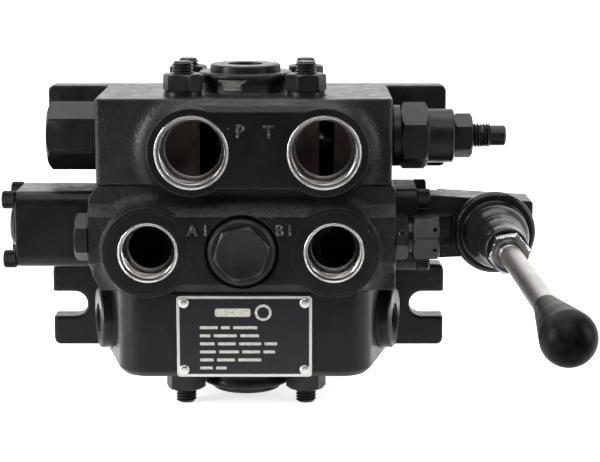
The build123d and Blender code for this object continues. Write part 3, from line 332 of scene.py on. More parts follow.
def bore_steel(name, colour, port, gloss):
    """Inside of a port: drilled iron with turned rings about the port's axis, in a given colour that for the
    work ports is painted shade.
    """
    finish = Finish(name, colour, 0.6, gloss, specular=0.2)
    centre = Vector(port["pos_m"])
    shift, flat, reach = (finish.nodes.new("ShaderNodeVectorMath") for _ in range(3))
    shift.operation, flat.operation, reach.operation = "SUBTRACT", "MULTIPLY", "LENGTH"
    shift.inputs[1].default_value = centre
    flat.inputs[1].default_value = (1, 0, 1)
    pitch, waves = (finish.nodes.new("ShaderNodeMath") for _ in range(2))
    pitch.operation, waves.operation = "MULTIPLY", "SINE"
    pitch.inputs[1].default_value = 2 * pi / (FEED_MARK * MM)
    finish.links.new(finish.coord, shift.inputs[0])
    finish.links.new(shift.outputs[0], flat.inputs[0])
    finish.links.new(flat.outputs[0], reach.inputs[0])
    finish.links.new(reach.outputs["Value"], pitch.inputs[0])
    finish.links.new(pitch.outputs[0], waves.inputs[0])
    stains = finish.noise(130, 4.0)
    dark = tuple(0.55 * c for c in colour)
    finish.colours(stains, [(0.35, dark), (0.65, colour)])
    finish.relief(waves.outputs[0], 0.05, 1.0)
    return finish.material


def oxide_steel(name="black_oxide"):
    """Black oxide on turned and milled steel, with thin wear."""
    finish = Finish(name, (0.02, 0.02, 0.021), 0.0, 0.36, specular=0.22)
    tones = [(0.30, 0.004), (0.62, 0.009), (0.85, 0.026)]
    finish.colours(finish.noise(90, 4.0), [(at, (tone, tone, tone * 1.03)) for at, tone in tones])
    finish.gloss(finish.spread(finish.noise(220, 3.0), 0.3, 0.7, 0.28, 0.46))
    finish.relief(finish.noise(1500, 2.0), 0.02, 0.6)
    return finish.material


def bright_turned(name="machined_steel"):
    """Bare turned steel of the port seats and threads."""
    finish = Finish(name, (0.4, 0.39, 0.385), 1.0, 0.3)
    finish.colours(finish.noise(60, 2.0), [(0.3, (0.50, 0.49, 0.485)), (0.7, (0.64, 0.635, 0.63))])
    finish.gloss(finish.spread(finish.noise(90, 2.0), 0.3, 0.7, 0.27, 0.33))
    return finish.material


def brushed_rod(name="brushed_steel"):
    """Ground rod with fine marks round it and faint stains."""
    finish = Finish(name, (0.5, 0.49, 0.47), 1.0, 0.35)
    finish.colours(finish.noise(35, 4.0), [(0.25, (0.20, 0.192, 0.18)), (0.75, (0.38, 0.372, 0.355))])
    marks = finish.noise(260, 3.0, stretch=(0.15, 12.0, 0.15))
    finish.gloss(finish.spread(marks, 0.3, 0.7, 0.26, 0.44))
    finish.relief(marks, 0.02, 0.5)
    return finish.material


def zinc_plate(name="zinc_plate"):
    """Bright zinc plating with a faint haze."""
    finish = Finish(name, (0.74, 0.75, 0.77), 1.0, 0.18)
    finish.colours(finish.noise(140, 3.0), [(0.3, (0.22, 0.225, 0.235)), (0.7, (0.38, 0.38, 0.385))])
    finish.gloss(finish.spread(finish.noise(300, 2.0), 0.3, 0.7, 0.12, 0.28))
    return finish.material


def knob_plastic(name="moulded_plastic"):
    """Satin moulded plastic, a little mottled by handling."""
    finish = Finish(name, (0.02, 0.02, 0.02), 0.0, 0.42, specular=0.06)
    finish.colours(finish.noise(150, 5.0), [(0.42, (0.001, 0.001, 0.001)), (0.66, (0.009, 0.009, 0.009))])
    finish.gloss(finish.spread(finish.noise(80, 4.0), 0.3, 0.7, 0.34, 0.52))
    finish.relief(finish.noise(900, 3.0), 0.02, 0.5)
    return finish.material


def boot_rubber(name="moulded_rubber"):
    """Glossy black rubber with soft waviness."""
    finish = Finish(name, (0.006, 0.006, 0.006), 0.0, 0.24, specular=0.25)
    finish.gloss(finish.spread(finish.noise(60, 3.0), 0.3, 0.7, 0.16, 0.34))
    finish.relief(finish.noise(120, 2.0), 0.18, 0.8)
    finish.relief(finish.noise(1300, 2.0), 0.015, 0.5)
    return finish.material


def plain_rubber(name="seal_rubber"):
    """Matt rubber of the seals."""
    finish = Finish(name, (0.018, 0.018, 0.018), 0.0, 0.6)
    finish.relief(finish.noise(1500, 2.0), 0.01, 0.5)
    return finish.material


def gap_black(name="gap_black"):
    """Painted shade: near-black matt colour that stands for the shadow in deep narrow gaps and holes."""
    finish = Finish(name, (0.0015, 0.0015, 0.0015), 0.0, 0.9, specular=0.0)
    finish.relief(finish.noise(1500, 2.0), 0.01, 0.3)
    return finish.material


def ground_flat(name="ground_flat"):
    """Paint ground thin over iron, with marks across."""
    finish = Finish(name, (0.1, 0.1, 0.1), 0.3, 0.35)
    marks = finish.noise(500, 3.0, stretch=(0.3, 1, 2.5))
    finish.colours(marks, [(0.35, (0.05, 0.05, 0.05)), (0.65, (0.17, 0.17, 0.165))])
    finish.relief(marks, 0.04)
    return finish.material


def plate_silver(name="plate_aluminium"):
    """Bare rolled aluminium of the plate's border and marks."""
    finish = Finish(name, (0.47, 0.47, 0.46), 1.0, 0.35)
    rolled = finish.noise(500, 2.0, stretch=(0.08, 1, 2.5))
    finish.gloss(finish.spread(rolled, 0.3, 0.7, 0.28, 0.44))
    finish.relief(rolled, 0.01, 0.5)
    return finish.material


def plate_mark(name="plate_marks"):
    """Dull silver print on the plate."""
    finish = Finish(name, (0.40, 0.39, 0.37), 0.2, 0.5)
    finish.colours(finish.noise(900, 2.0), [(0.3, (0.25, 0.24, 0.23)), (0.7, (0.45, 0.44, 0.41))])
    return finish.material


def plate_black(name="plate_black"):
    """Gloss black field of the plate."""
    finish = Finish(name, (0.006, 0.006, 0.007), 0.0, 0.2, specular=0.2)
    finish.gloss(finish.spread(finish.noise(90, 3.0), 0.3, 0.7, 0.16, 0.30))
    finish.relief(finish.noise(60, 2.0), 0.05, 0.5)
    return finish.material


FINISHES = {}


def make_finishes():
    """One material for each slot of the record and for the bare details."""
    FINISHES.update(
        cast_body=cast_paint("cast_paint", grain=900, depth=0.07, tone=0.006),
        cast_rough=cast_paint("cast_sand", grain=1000, depth=0.24, tone=0.014),
        cast_cover=cast_paint("cover_paint", grain=1300, depth=0.045, tone=0.007),
        worn_cast=worn_cast(), gap_black=gap_black(), ground_flat=ground_flat(),
        black_steel=oxide_steel(), inner_steel=bright_turned("ground_steel"), port_steel=bright_turned(),
        spring_steel=bright_turned("spring_wire"), lever_steel=brushed_rod(), zinc_nut=zinc_plate(),
        knob_plastic=knob_plastic(), boot_rubber=boot_rubber(), seal_rubber=plain_rubber(),
        plate_metal=plate_silver(), plate_mark=plate_mark(), plate_black=plate_black(),
        rivet_metal=plate_silver("rivet_aluminium"))
    # The A and B bores are near-black as painted shade of their deep holes; the warm brown of the P and T
    # bores is their turned floors' own colour.
    warm, dark = (0.045, 0.035, 0.030), (0.006, 0.005, 0.0045)
    for name, colour, gloss in (
            ("port_p", warm, 0.4), ("port_t", warm, 0.4), ("port_a", dark, 0.5), ("port_b", dark, 0.5)):
        FINISHES["bore_" + name[-1]] = bore_steel(name + "_bore", colour, PORTS[name], gloss)


# ----------------------------------------------------------------------- mesh building
def finish_piece(name, mesh, look, body, replaced=(), more_looks=()):
    """Object from a mesh in metres with the named finishes, riding on a body if one is given."""
    mesh.materials.clear()
    for each in (look, *more_looks):
        mesh.materials.append(FINISHES[each])
    piece = bpy.data.objects.new(name, mesh)
    bpy.context.scene.collection.objects.link(piece)
    if body:
        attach(piece, body)
    if replaced:
        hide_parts(*replaced)
    return piece


def build(name, shells, look, body, replaced=(), smooth=28):
    """Piece from (points, faces) shells in millimetres."""
    points, faces = [], []
    for shell_points, shell_faces in shells:
        start = len(points)
        points.extend(shell_points)
        faces.extend(tuple(i + start for i in face) for face in shell_faces)
    mesh = bpy.data.meshes.new(name)
    mesh.from_pydata([Vector(p) * MM for p in points], [], faces)
    work = bmesh.new()
    work.from_mesh(mesh)
    bmesh.ops.recalc_face_normals(work, faces=work.faces)
    work.to_mesh(mesh)
    work.free()
    mesh.shade_smooth()
    mesh.set_sharp_from_angle(angle=radians(smooth))
    return finish_piece(name, mesh, look, body, replaced)


def steel(name, shells, *replaced, body="root", smooth=28):
    """Piece in black oxide steel."""
    return build(name, shells, "black_steel", body, replaced, smooth)


def circle(radius):
    """Round row of a turned shell."""
    return lambda turn: np.full_like(turn, radius)


def turned(*profile):
    """Round rows from (along, radius) pairs."""
    return [(at, circle(radius)) for at, radius in profile]


def hexed(flats, cone):
    """Hexagonal row with a corner at turn 0, cut back to a cone's radius."""
    return lambda turn: np.minimum(flats / 2 / np.cos(turn % (pi / 3) - pi / 6), cone)


def knurled(radius, count, depth):
    """Row with straight knurling."""
    return lambda turn: radius - depth * (0.5 + 0.5 * np.cos(turn * count))


def helix(at, crest, root, pitch):
    """Row of a screw thread at a distance along its axis."""
    def radius(turn):
        wave = np.abs(2 * ((at / pitch - turn / (2 * pi)) % 1) - 1)
        return root + (crest - root) * np.clip(1.35 * wave - 0.15, 0, 1)
    return radius


def thread(start, end, crest, root, pitch):
    """Rows of a screw thread between two distances."""
    count = int(abs(end - start) / pitch * 8) + 2
    return [(at, helix(at, crest, root, pitch)) for at in np.linspace(start, end, count)]


def hex_rows(start, end, flats, both_ends=True):
    """Rows of a hexagon whose corners are chamfered by a 30 degree cone."""
    corner = flats / 2 / cos(pi / 6)
    inner = flats / 2 - 0.2
    drop = (corner - inner) * tan(pi / 6)
    way = 1 if end > start else -1
    cuts = []
    for share in (0, 0.15, 0.35, 0.6, 1):
        cuts.append((drop * share, hexed(flats, inner + (corner - inner) * share)))
    near = [(start + way * at, row) for at, row in cuts] if both_ends else [(start, hexed(flats, corner))]
    return near + [(end - way * at, row) for at, row in reversed(cuts)]


def softened(outline, radius=0.35):
    """Round rows of an (along, radius) outline with each corner cut twice."""
    points = [Vector(p) for p in outline]
    rows = [points[0]]
    for before, here, after in zip(points, points[1:], points[2:]):
        for other, share in ((before, 1.0), (before, 0.4), (after, 0.4), (after, 1.0)):
            way = other - here
            reach = min(radius, way.length * 0.45)
            rows.append(here + way.normalized() * reach * share * (1.0 if share == 1.0 else 0.75))
    rows.append(points[-1])
    return [(p.x, circle(p.y)) for p in rows]


def shell(origin, axis, across, rows, segments=96, closed=False, twist=0.0):
    """Skin through rows of (along, radius function) about an axis; open ends are capped.

    Turn 0 is where across points, plus a twist in degrees.
    """
    axis = Vector(axis).normalized()
    across = (Vector(across) - axis * Vector(across).dot(axis)).normalized()
    side = axis.cross(across)
    turn = np.arange(segments) * (2 * pi / segments)
    place = turn + radians(twist)
    ring_u = np.outer(np.cos(place), across) + np.outer(np.sin(place), side)
    points = []
    for at, radius in rows:
        centre = np.array(origin) + np.array(axis) * at
        points.extend(centre + ring_u * radius(turn)[:, None])
    faces = []
    count = len(rows)
    for i in range(count if closed else count - 1):
        a, b = i * segments, ((i + 1) % count) * segments
        for k in range(segments):
            n = (k + 1) % segments
            faces.append((a + k, a + n, b + n, b + k))
    if not closed:
        for row, (at, _) in ((0, rows[0]), (count - 1, rows[-1])):
            hub = len(points)
            points.append(np.array(origin) + np.array(axis) * at)
            for k in range(segments):
                faces.append((row * segments + k, row * segments + (k + 1) % segments, hub))
    return points, faces


# --------------------------------------------------------------------------- castings
def cast_copy(node, voxel, rounds):
    """Copy of a CAD casting with rounded edges and filled corners, as sand moulds leave."""
    tool = bpy.data.objects.new("tool", NODES[node].data.copy())
    bpy.context.scene.collection.objects.link(tool)
    remesh = tool.modifiers.new("remesh", "REMESH")
    remesh.mode = "VOXEL"
    remesh.voxel_size = voxel * MM * 1.0
    smooth = tool.modifiers.new("smooth", "SMOOTH")
    smooth.factor = 0.5
    smooth.iterations = rounds
    fewer = tool.modifiers.new("fewer", "DECIMATE")
    fewer.ratio = 0.5
    graph = bpy.context.evaluated_depsgraph_get()
    mesh = bpy.data.meshes.new_from_object(tool.evaluated_get(graph))
    bpy.data.objects.remove(tool)
    return mesh


def get_points(mesh):
    """Vertex places of a mesh in millimetres."""
    points = np.empty(len(mesh.vertices) * 3)
    mesh.vertices.foreach_get("co", points)
    return points.reshape(-1, 3) / MM


def set_points(mesh, points):
    """Put vertex places in millimetres back into a mesh."""
    mesh.vertices.foreach_set("co", (points * MM).ravel())
    mesh.update()


def open_bore(points, port, liner_r):
    """Widen a port's bore so that its threaded lining fits inside the casting."""
    centre = np.array(port["pos_m"]) / MM
    dx, dz = points[:, 0] - centre[0], points[:, 2] - centre[2]
    reach = np.hypot(dx, dz)
    minor = port["dims"]["r_mm"]
    depth = points[:, 1] - PORT_FACE
    wall = (reach < liner_r + 0.2) & (reach > minor - 1.0) & (depth > -1.0) & (depth < LINER_DEPTH + 0.5)
    factor = np.where(wall, (liner_r + 0.15) / np.maximum(reach, 1.0), 1.0)
    points[:, 0] = centre[0] + dx * factor
    points[:, 2] = centre[2] + dz * factor


def liner_of(port):
    """Lining radius of a port: the upper pair is the larger."""
    return LARGE_LINER_R if port["pos_m"][2] / MM > UPPER_ROW else SMALL_LINER_R


def face_data(mesh, field, width):
    """One field of every face as an array."""
    values = np.empty(len(mesh.polygons) * width)
    mesh.polygons.foreach_get(field, values)
    return values.reshape(-1, width)


def paint_faces(mesh, names):
    """Finishes of a ported casting: its ports' insides, near-black as painted shade in the work ports, and
    sand grain off the machined face.
    """
    facing_front, face_band = -0.93, 0.9
    places = face_data(mesh, "center", 3) / MM
    facing = face_data(mesh, "normal", 3)[:, 1]
    index = np.zeros(len(places), dtype=np.int32)
    if names:
        off_face = np.abs(places[:, 1] - PORT_FACE) > face_band
        index[(facing > facing_front) | off_face] = len(names) + 1
    for number, name in enumerate(names):
        centre = Vector(PORTS[name]["pos_m"]) / MM
        reach = np.hypot(places[:, 0] - centre.x, places[:, 2] - centre.z)
        inside = (reach < liner_of(PORTS[name]) + 0.6) & (places[:, 1] > PORT_FACE + 1.5)
        index[inside & (places[:, 1] < BORE_END)] = number + 1
    mesh.polygons.foreach_set("material_index", index)


def castings():
    """Cast skins of the three sections, the lever box and the positioner housing."""
    for node, voxel, rounds, names in (
            ("inlet_section", 0.7, 2, ("port_p", "port_t")), ("work_section", 0.7, 2, ("port_a", "port_b")),
            ("end_section", 0.8, 3, ()), ("lever_box", 0.5, 3, ()), ("positioner_housing", 0.6, 2, ())):
        mesh = cast_copy(node, voxel, rounds)
        points = get_points(mesh)
        for name in names:
            open_bore(points, PORTS[name], liner_of(PORTS[name]))
        looks = ["bore_" + name[-1] for name in names]
        if names:
            looks.append("cast_rough")
        if node == "inlet_section":
            looks.append("ground_flat")
        first = "cast_rough" if node == "lever_box" else SLOT_OF[node]
        finish_piece(node + "_skin", mesh, first, "root", (node,), looks)
        paint_faces(mesh, names)
        if node == "inlet_section":
            boss_flat(mesh, points, len(looks))
        set_points(mesh, points)
        mesh.shade_smooth()


def boss_flat(mesh, points, index):
    """Lens-shaped flat ground on the left front of the top boss, in its own finish."""
    boss_y, lean, reach = -42.0, radians(15.6), 21.3
    z_mid, z_half, x_half = 71.2, 2.9, 16
    way = np.array((-sin(lean), -cos(lean)))
    out = (points[:, :2] - (0, boss_y)) @ way
    zone = (out > reach) & (np.abs(points[:, 2] - z_mid) < z_half) & (np.abs(points[:, 0]) < x_half)
    points[zone, :2] -= np.outer(out[zone] - reach, way)
    for face in mesh.polygons:
        if all(zone[i] for i in face.vertices):
            face.material_index = index


# ------------------------------------------------------------------------------ ports
def port_linings():
    """Bare machined mouths of the four ports: rim, seat, thread and the runout's lip."""
    for name, port in PORTS.items():
        minor, liner = port["dims"]["r_mm"], liner_of(port)
        centre = Vector(port["pos_m"]) / MM
        origin = (centre.x, PORT_FACE, centre.z)
        rows = turned((0.5, liner), (-0.06, liner), (-0.12, liner - 0.08), (-0.12, liner - 0.25),
                      (0.3, liner - 0.6), (0.55, liner - 0.62), (0.55, liner - 0.85), (0.35, liner - 0.9),
                      (0.4, liner - 1.05), (1.4, minor + 0.45), (SEAT_DEPTH - 0.3, minor + 0.3),
                      (SEAT_DEPTH, minor + 0.6))
        rows += thread(SEAT_DEPTH + 0.1, THREAD_DEPTH - 0.4, minor, minor + 0.8, PORT_PITCH)
        rows += turned((THREAD_DEPTH, minor), (THREAD_DEPTH + 0.5, minor - 0.1), (LINER_DEPTH, minor - LIP),
                       (LINER_DEPTH + 0.6, minor - LIP), (LINER_DEPTH + 0.6, liner))
        build(name + "_lining", [shell(origin, Y, X, rows, 128, closed=True)],
              "port_steel", "root", smooth=35)


def face_rings():
    """Thin turned line round each work port."""
    shells = []
    rows = turned((0.2, 20.0), (-0.08, 19.95), (-0.12, 19.8), (-0.08, 19.65), (0.2, 19.6))
    for name in ("port_a", "port_b"):
        centre = Vector(PORTS[name]["pos_m"]) / MM
        shells.append(shell((centre.x, PORT_FACE, centre.z), Y, X, rows, 128, closed=True))
    build("port_face_rings", shells, "black_steel", "root")


def cast_letters():
    """Raised port letters on the faces between the ports."""
    p, t, a, b = (Vector(PORTS["port_" + name]["pos_m"]) / MM for name in "ptab")
    large, small, rise, small_rise = 8.2, 6.8, 10.0, 10.7
    for name, text, x, z, size in (
            ("p", "P", p.x + 22.8, p.z + rise, large),
            ("t", "T", t.x - 25.8, t.z + rise - 0.4, large),
            ("a", "A", a.x + 21.2, a.z + small_rise, small),
            ("a_one", "1", a.x + 27.4, a.z + small_rise, small),
            ("b", "B", b.x - 25.7, b.z + small_rise, small),
            ("b_one", "1", b.x - 20.8, b.z + small_rise, small)):
        curve = bpy.data.curves.new(name, "FONT")
        curve.body = text
        curve.size = size * MM
        curve.align_x, curve.align_y = "CENTER", "CENTER"
        curve.extrude = 0.45 * MM
        curve.bevel_depth = 0.28 * MM
        curve.bevel_resolution = 2
        tool = bpy.data.objects.new("tool", curve)
        bpy.context.scene.collection.objects.link(tool)
        graph = bpy.context.evaluated_depsgraph_get()
        mesh = bpy.data.meshes.new_from_object(tool.evaluated_get(graph))
        bpy.data.objects.remove(tool)
        place = Matrix.Translation(Vector((x, PORT_FACE, z)) * MM)
        mesh.transform(place @ Matrix.Rotation(pi / 2, 4, "X"))
        mesh.shade_smooth()
        mesh.set_sharp_from_angle(angle=radians(40))
        # the letters' lighter finish is part wear, part painted highlight on their raised faces
        finish_piece("cast_letter_" + name, mesh, "worn_cast", "root")


# ---------------------------------------------------------------------- stack fasteners
def studs():
    """Four studs with cut threads at both ends."""
    shells = []
    bottom, cut, root_r = low("tie_rods").z, 14.0, ROD_R - 0.85
    for x in (-ROD_X, ROD_X):
        for y, top in zip(ROD_YS, ROD_TOPS):
            length = top - bottom
            rows = turned((0, 3.9), (0.5, 4.2))
            rows += thread(0.8, cut, ROD_R, root_r, ROD_PITCH)
            rows += turned((cut + 1.0, ROD_R - 0.1), (length - cut - 1.0, ROD_R - 0.1))
            rows += thread(length - cut, length - 0.8, ROD_R, root_r, ROD_PITCH)
            rows += turned((length - 0.5, 4.2), (length, 3.9))
            shells.append(shell((x, y, bottom), Z, X, rows, 48))
    steel("threaded_studs", shells, "tie_rods", smooth=50)


def stack_nuts():
    """Hexagon nuts at both ends of the studs."""
    seats = (("top", low("tie_rod_nuts_top").z, 1), ("bottom", high("tie_rod_nuts_bottom").z, -1))
    places = [(x, y) for x in (-ROD_X, ROD_X) for y in ROD_YS]
    for end, seat, way in seats:
        shells = []
        for (x, y), turn in zip(places, NUT_TURNS):
            rows = hex_rows(0, way * NUT_HEIGHT, NUT_FLATS)
            rows += turned((way * NUT_HEIGHT, 6.2), (way * (NUT_HEIGHT - 0.8), 5.15))
            rows += turned((way * 0.8, 5.15), (0, 6.0))
            shells.append(shell((x, y, seat), Z, X, rows, 96, closed=True, twist=turn))
        steel("hex_nuts_" + end, shells, "tie_rod_nuts_" + end)


def socket_screws(name, node, seat_x, out, spread, head_r, head, shank_r, key):
    """Four knurled socket screws in a square round the spool's line; out is the way their heads point."""
    inner = high(node).x if out < 0 else low(node).x
    knurl = knurled(head_r, 30, 0.45)
    socket = hexed(key, key)
    rows = turned((inner - seat_x, shank_r), (0, shank_r), (0, head_r - 0.5), (out * 0.4, head_r - 0.1))
    rows += [(out * 0.9, knurl), (out * (head - 1.1), knurl)]
    rows += turned((out * (head - 0.5), head_r - 0.15), (out * head, head_r - 0.7), (out * head, key * 0.62))
    rows += [(out * (head - 0.3), socket), (out * (head * 0.45), socket)]
    shells = []
    for y in (SPOOL_Y - spread, SPOOL_Y + spread):
        for z in (SPOOL_Z - spread, SPOOL_Z + spread):
            shells.append(shell((seat_x, y, z), X, Z, rows, 120))
    steel(name, shells, node, smooth=40)


def cap_screws():
    """Screws of the positioner on the left and of the lever box on the right."""
    socket_screws("positioner_cap_screws", "positioner_screws", low("positioner_housing").x, -1,
                  spread=14.6, head_r=4.4, head=6.2, shank_r=2.45, key=4.0)
    socket_screws("lever_box_cap_screws", "lever_box_screws", BOX_SEAT, 1,
                  spread=15.2, head_r=4.9, head=6.4, shank_r=2.95, key=5.0)


# ------------------------------------------------------------------------ hexagon parts
def relief_cartridge():
    """Main relief body, lock nut and adjusting screw on the right of the inlet."""
    inner = low("relief_valve_body").x - INLET_SIDE
    origin = (INLET_SIDE, RELIEF_Y, RELIEF_Z)
    rows = softened([(inner, 9.9), (inner + 10, 9.9), (inner + 10, 11.8), (0, 11.8), (0, 14.2), (1.5, 14.2),
                     (1.7, 13.6), (2.0, 15.0), (5.3, 15.0), (5.4, 14.0)], 0.25)
    rows += hex_rows(5.5, 18.8, RELIEF_FLATS)
    rows += softened([(18.8, 13.9), (19.0, 13.2), (30.9, 13.2), (31.7, 12.2), (31.7, 6.2)], 0.4)
    rows += turned((14.5, 6.15), (14.5, 7.55), (inner, 7.55))
    body = shell(origin, X, Z, rows, 144, closed=True, twist=RELIEF_TURN)
    steel("relief_body", [body], "relief_valve_body")
    rows = hex_rows(31.75, 40.7, LOCK_FLATS) + turned((40.7, 7.0), (40.1, 6.2), (32.3, 6.2), (31.75, 6.9))
    steel("relief_nut", [shell(origin, X, Z, rows, 96, closed=True)], "relief_lock_nut")
    rows = turned((14.1, 7.1), (17.9, 7.1), (18.0, 5.3), (38.0, 5.3))
    rows += thread(38.2, 44.6, SCREW_R, 5.1, SCREW_PITCH)
    rows += softened([(44.8, 5.2), (44.9, 5.5), (46.2, 5.5), (46.3, 5.2)], 0.1)
    rows += thread(46.4, 49.4, SCREW_R, 5.1, SCREW_PITCH)
    rows += softened([(49.5, 5.2), (49.8, 4.9), (50.2, 5.0), (56.4, 5.0), (57.2, 4.3)], 0.3)
    rows += [(57.2, circle(3.2)), (56.9, hexed(5.0, 5.0)), (51.5, hexed(5.0, 5.0))]
    steel("relief_screw_threaded", [shell(origin, X, Z, rows, 96)], "relief_adjusting_screw",
          body="relief_screw", smooth=50)


def blanking_plug():
    """Long hexagon plug on the left of the inlet."""
    rows = softened([(15.0, 10.8), (0.1, 10.8), (0.0, 14.1), (-1.1, 14.1), (-1.2, 13.8)], 0.2)
    rows += hex_rows(-1.25, -26.4, BLANK_FLATS)
    origin = (-INLET_SIDE, RELIEF_Y, RELIEF_Z)
    steel("long_hex_plug", [shell(origin, X, Z, rows, 144, twist=BLANK_TURN)], "inlet_blanking_plug")


def port_relief():
    """Port relief base, sealed cap and eyelet on the right; hexagon plug on the left."""
    right = Vector((WORK_RIGHT, PORT_RELIEF_Y, PORT_RELIEF_Z))
    left = (WORK_LEFT, PORT_RELIEF_Y, PORT_RELIEF_Z)
    rows = turned((-11.0, 6.8), (-0.1, 6.8)) + hex_rows(0.0, 5.8, BASE_FLATS, both_ends=False)
    rows += softened([(5.8, 8.2), (5.9, 7.4), (7.9, 7.4), (7.95, 4.0), (14.9, 4.0)], 0.2)
    rows += turned((14.9, 3.0), (-11.0, 3.0))
    base = shell(right, X, Z, rows, 120, closed=True, twist=BASE_TURN)
    steel("port_relief_base", [base], "port_relief_cartridge")
    rows = hex_rows(8.0, 20.5, CAP_FLATS)
    rows += turned((20.5, 3.0), (20.2, 2.7), (16.2, 2.7), (15.6, 4.08), (8.0, 4.08))
    cap = shell(right, X, Z, rows, 144, closed=True, twist=CAP_TURN)
    steel("port_relief_hex_cap", [cap], "port_relief_cap")
    # painted shade: the two seal-wire holes are short black cylinders that stand for the shadow inside them
    holes = []
    for tilt in (radians(-30), radians(30)):
        way = Vector((0, -cos(tilt), sin(tilt)))
        holes.append(shell(right + X * 18.2 + way * 9.75, way, X, turned((-0.5, 1.0), (0.1, 1.0)), 24))
    build("seal_wire_painted_hole_shade", holes, "gap_black", "root")
    way = Vector((0, -1, 0.35)).normalized()
    rows = turned((-0.5, 1.9), (0.5, 1.9), (0.75, 1.5), (0.75, 0.9), (0.1, 0.7))
    steel("seal_wire_eyelet", [shell(right + X * 2.9 + way * 9.3, way, X, rows, 32)])
    rows = turned((11.0, 6.8), (0.1, 6.8)) + hex_rows(0.0, -6.2, LEFT_PLUG_FLATS, both_ends=False)
    steel("port_relief_hex_plug", [shell(left, X, Z, rows, 120)], "port_relief_plug_left")


def check_plug():
    """Load check plug with its round collar and low hexagon, and a flat black ring round it as painted shadow
    of the gap.
    """
    box_low, box_high = low("load_check_plug"), high("load_check_plug")
    middle = (box_low + box_high) / 2
    origin = (middle.x, PORT_FACE + 1.0, middle.z)
    # painted shadow: a flat black ring at the port face stands for the shade in the gap round the collar
    ring = turned((-0.4, 16.1), (-1.05, 16.1), (-1.05, 17.5), (-0.4, 17.7))
    build("check_plug_painted_gap_shadow", [shell(origin, Y, X, ring, 96, closed=True)], "gap_black", "root")
    rows = turned((box_high.y - origin[1], 10.35), (0.05, 10.35))
    rows += softened([(0.0, 12.0), (0.0, CHECK_COLLAR_R), (-1.5, CHECK_COLLAR_R), (-3.2, 14.6),
                      (-3.25, 13.9)], 0.3)
    rows += hex_rows(-3.2, -6.4, CHECK_FLATS, both_ends=False) + turned((-6.4, 11.0), (-6.25, 10.6))
    steel("load_check_hex_plug", [shell(origin, Y, X, rows, 144, twist=CHECK_TURN)], "load_check_plug")


# ------------------------------------------------------------------------------ springs
def coil(start, end, mean_r, wire_r, turns):
    """Wire of a compression spring between two points."""
    axis = (end - start).normalized()
    across = axis.orthogonal().normalized()
    side = axis.cross(across)
    count = int(turns * 28)
    length = (end - start).length - 2 * wire_r
    points, faces = [], []
    for i in range(count + 1):
        share = i / count
        angle = share * turns * 2 * pi
        out = across * cos(angle) + side * sin(angle)
        centre = start + axis * (wire_r + length * share) + out * mean_r
        for k in range(WIRE_SIDES):
            turn = k * 2 * pi / WIRE_SIDES
            points.append(centre + (out * cos(turn) + axis * sin(turn)) * wire_r)
    for i in range(count):
        for k in range(WIRE_SIDES):
            n = (k + 1) % WIRE_SIDES
            a, b = i * WIRE_SIDES, (i + 1) * WIRE_SIDES
            faces.append((a + k, a + n, b + n, b + k))
    faces.append(tuple(range(WIRE_SIDES)))
    faces.append(tuple(range(count * WIRE_SIDES, (count + 1) * WIRE_SIDES)))
    return points, faces


def springs():
    """Springs of the two poppets, each a wire coil filling its node's box."""
    for node, poppet, axis, wire_r, turns in (
            ("load_check_spring", "check_poppet", -Y, 0.4, 8), ("relief_spring", "relief_poppet", X, 1.2, 7)):
        box_low, box_high = low(node), high(node)
        middle, half = (box_low + box_high) / 2, (box_high - box_low) / 2
        reach = axis * abs(half.dot(axis))
        near, far = middle - reach, middle + reach
        wire = coil(near, far, half.z - wire_r, wire_r, turns)
        piece = build(node + "_wire", [wire], "spring_steel", None, (node,), smooth=60)
        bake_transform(piece)


# --------------------------------------------------------------------------- hand lever
def lever_parts():
    """Brushed rod with a short thread, and its bright lock nut."""
    rows = turned((LEVER_START, 4.6), (59.0, 4.75), (65.4, 4.75))
    rows += thread(65.6, 68.3, 5.0, 4.55, 1.25)
    rows += softened([(68.4, 4.6), (68.9, LEVER_R), (120.0, LEVER_R), (LEVER_END, LEVER_R),
                      (LEVER_END, 2.0)], 0.3)
    build("brushed_rod", [shell(PIVOT, LEVER_AXIS, X, rows, 96)], "lever_steel", "lever",
          ("lever_rod",), smooth=50)
    rows = hex_rows(59.35, 65.3, LEVER_NUT_FLATS)
    rows += turned((65.3, 6.6), (64.6, 5.2), (60.0, 5.2), (59.35, 6.2))
    nut = shell(PIVOT, LEVER_AXIS, X, rows, 96, closed=True, twist=LEVER_NUT_TURN)
    build("zinc_lock_nut", [nut], "zinc_nut", "lever", ("lever_lock_nut",))


def seamed(radius, height, width, seams):
    """Round row with a thin moulding seam at each of some turns."""
    def at(turn):
        away = (np.angle(np.exp(1j * (turn - seam))) / width for seam in seams)
        return radius + height * sum(np.exp(-(gap ** 2)) for gap in away)
    return at


def boot():
    """Rubber boot: clamped rim on the neck, one fold, and a sleeve on the hub."""
    outer = [(0.2, 18.0), (3.9, 18.2), (4.4, 19.2), (5.2, 19.7), (6.6, 19.8), (8.0, 19.6), (9.0, 18.9),
             (9.6, 17.9), (9.3, 16.9), (9.0, 16.2), (9.4, 15.3), (10.8, 14.7), (13.0, 14.6), (16.0, 15.0),
             (18.5, 15.1), (21.0, 14.8), (23.0, 14.0), (24.6, 12.9), (26.0, 12.2), (28.0, 11.8), (30.0, 11.7),
             (31.2, 11.3), (32.0, 11.1), (36.0, 10.9), (41.0, 10.7), (42.0, 10.9), (43.0, 10.6), (48.0, 10.3),
             (52.5, 10.2), (53.8, 9.9), (54.4, 9.2)]
    inner = [(54.3, 8.3), (44.0, 8.4), (31.0, 9.5), (25.0, 10.6), (21.0, 12.8), (15.0, 12.9), (12.0, 13.2),
             (8.0, 15.2), (5.2, 17.35), (0.2, 17.35)]
    seams = (pi - 0.45, -0.45)
    rows = [(s, seamed(r, 0.22, 0.035, seams)) for s, r in outer] + turned(*inner)
    piece = build("rubber_boot", [shell(PIVOT, LEVER_AXIS, X, rows, 160, closed=True)], "boot_rubber", None,
                  ("dust_boot",), smooth=60)
    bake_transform(piece)


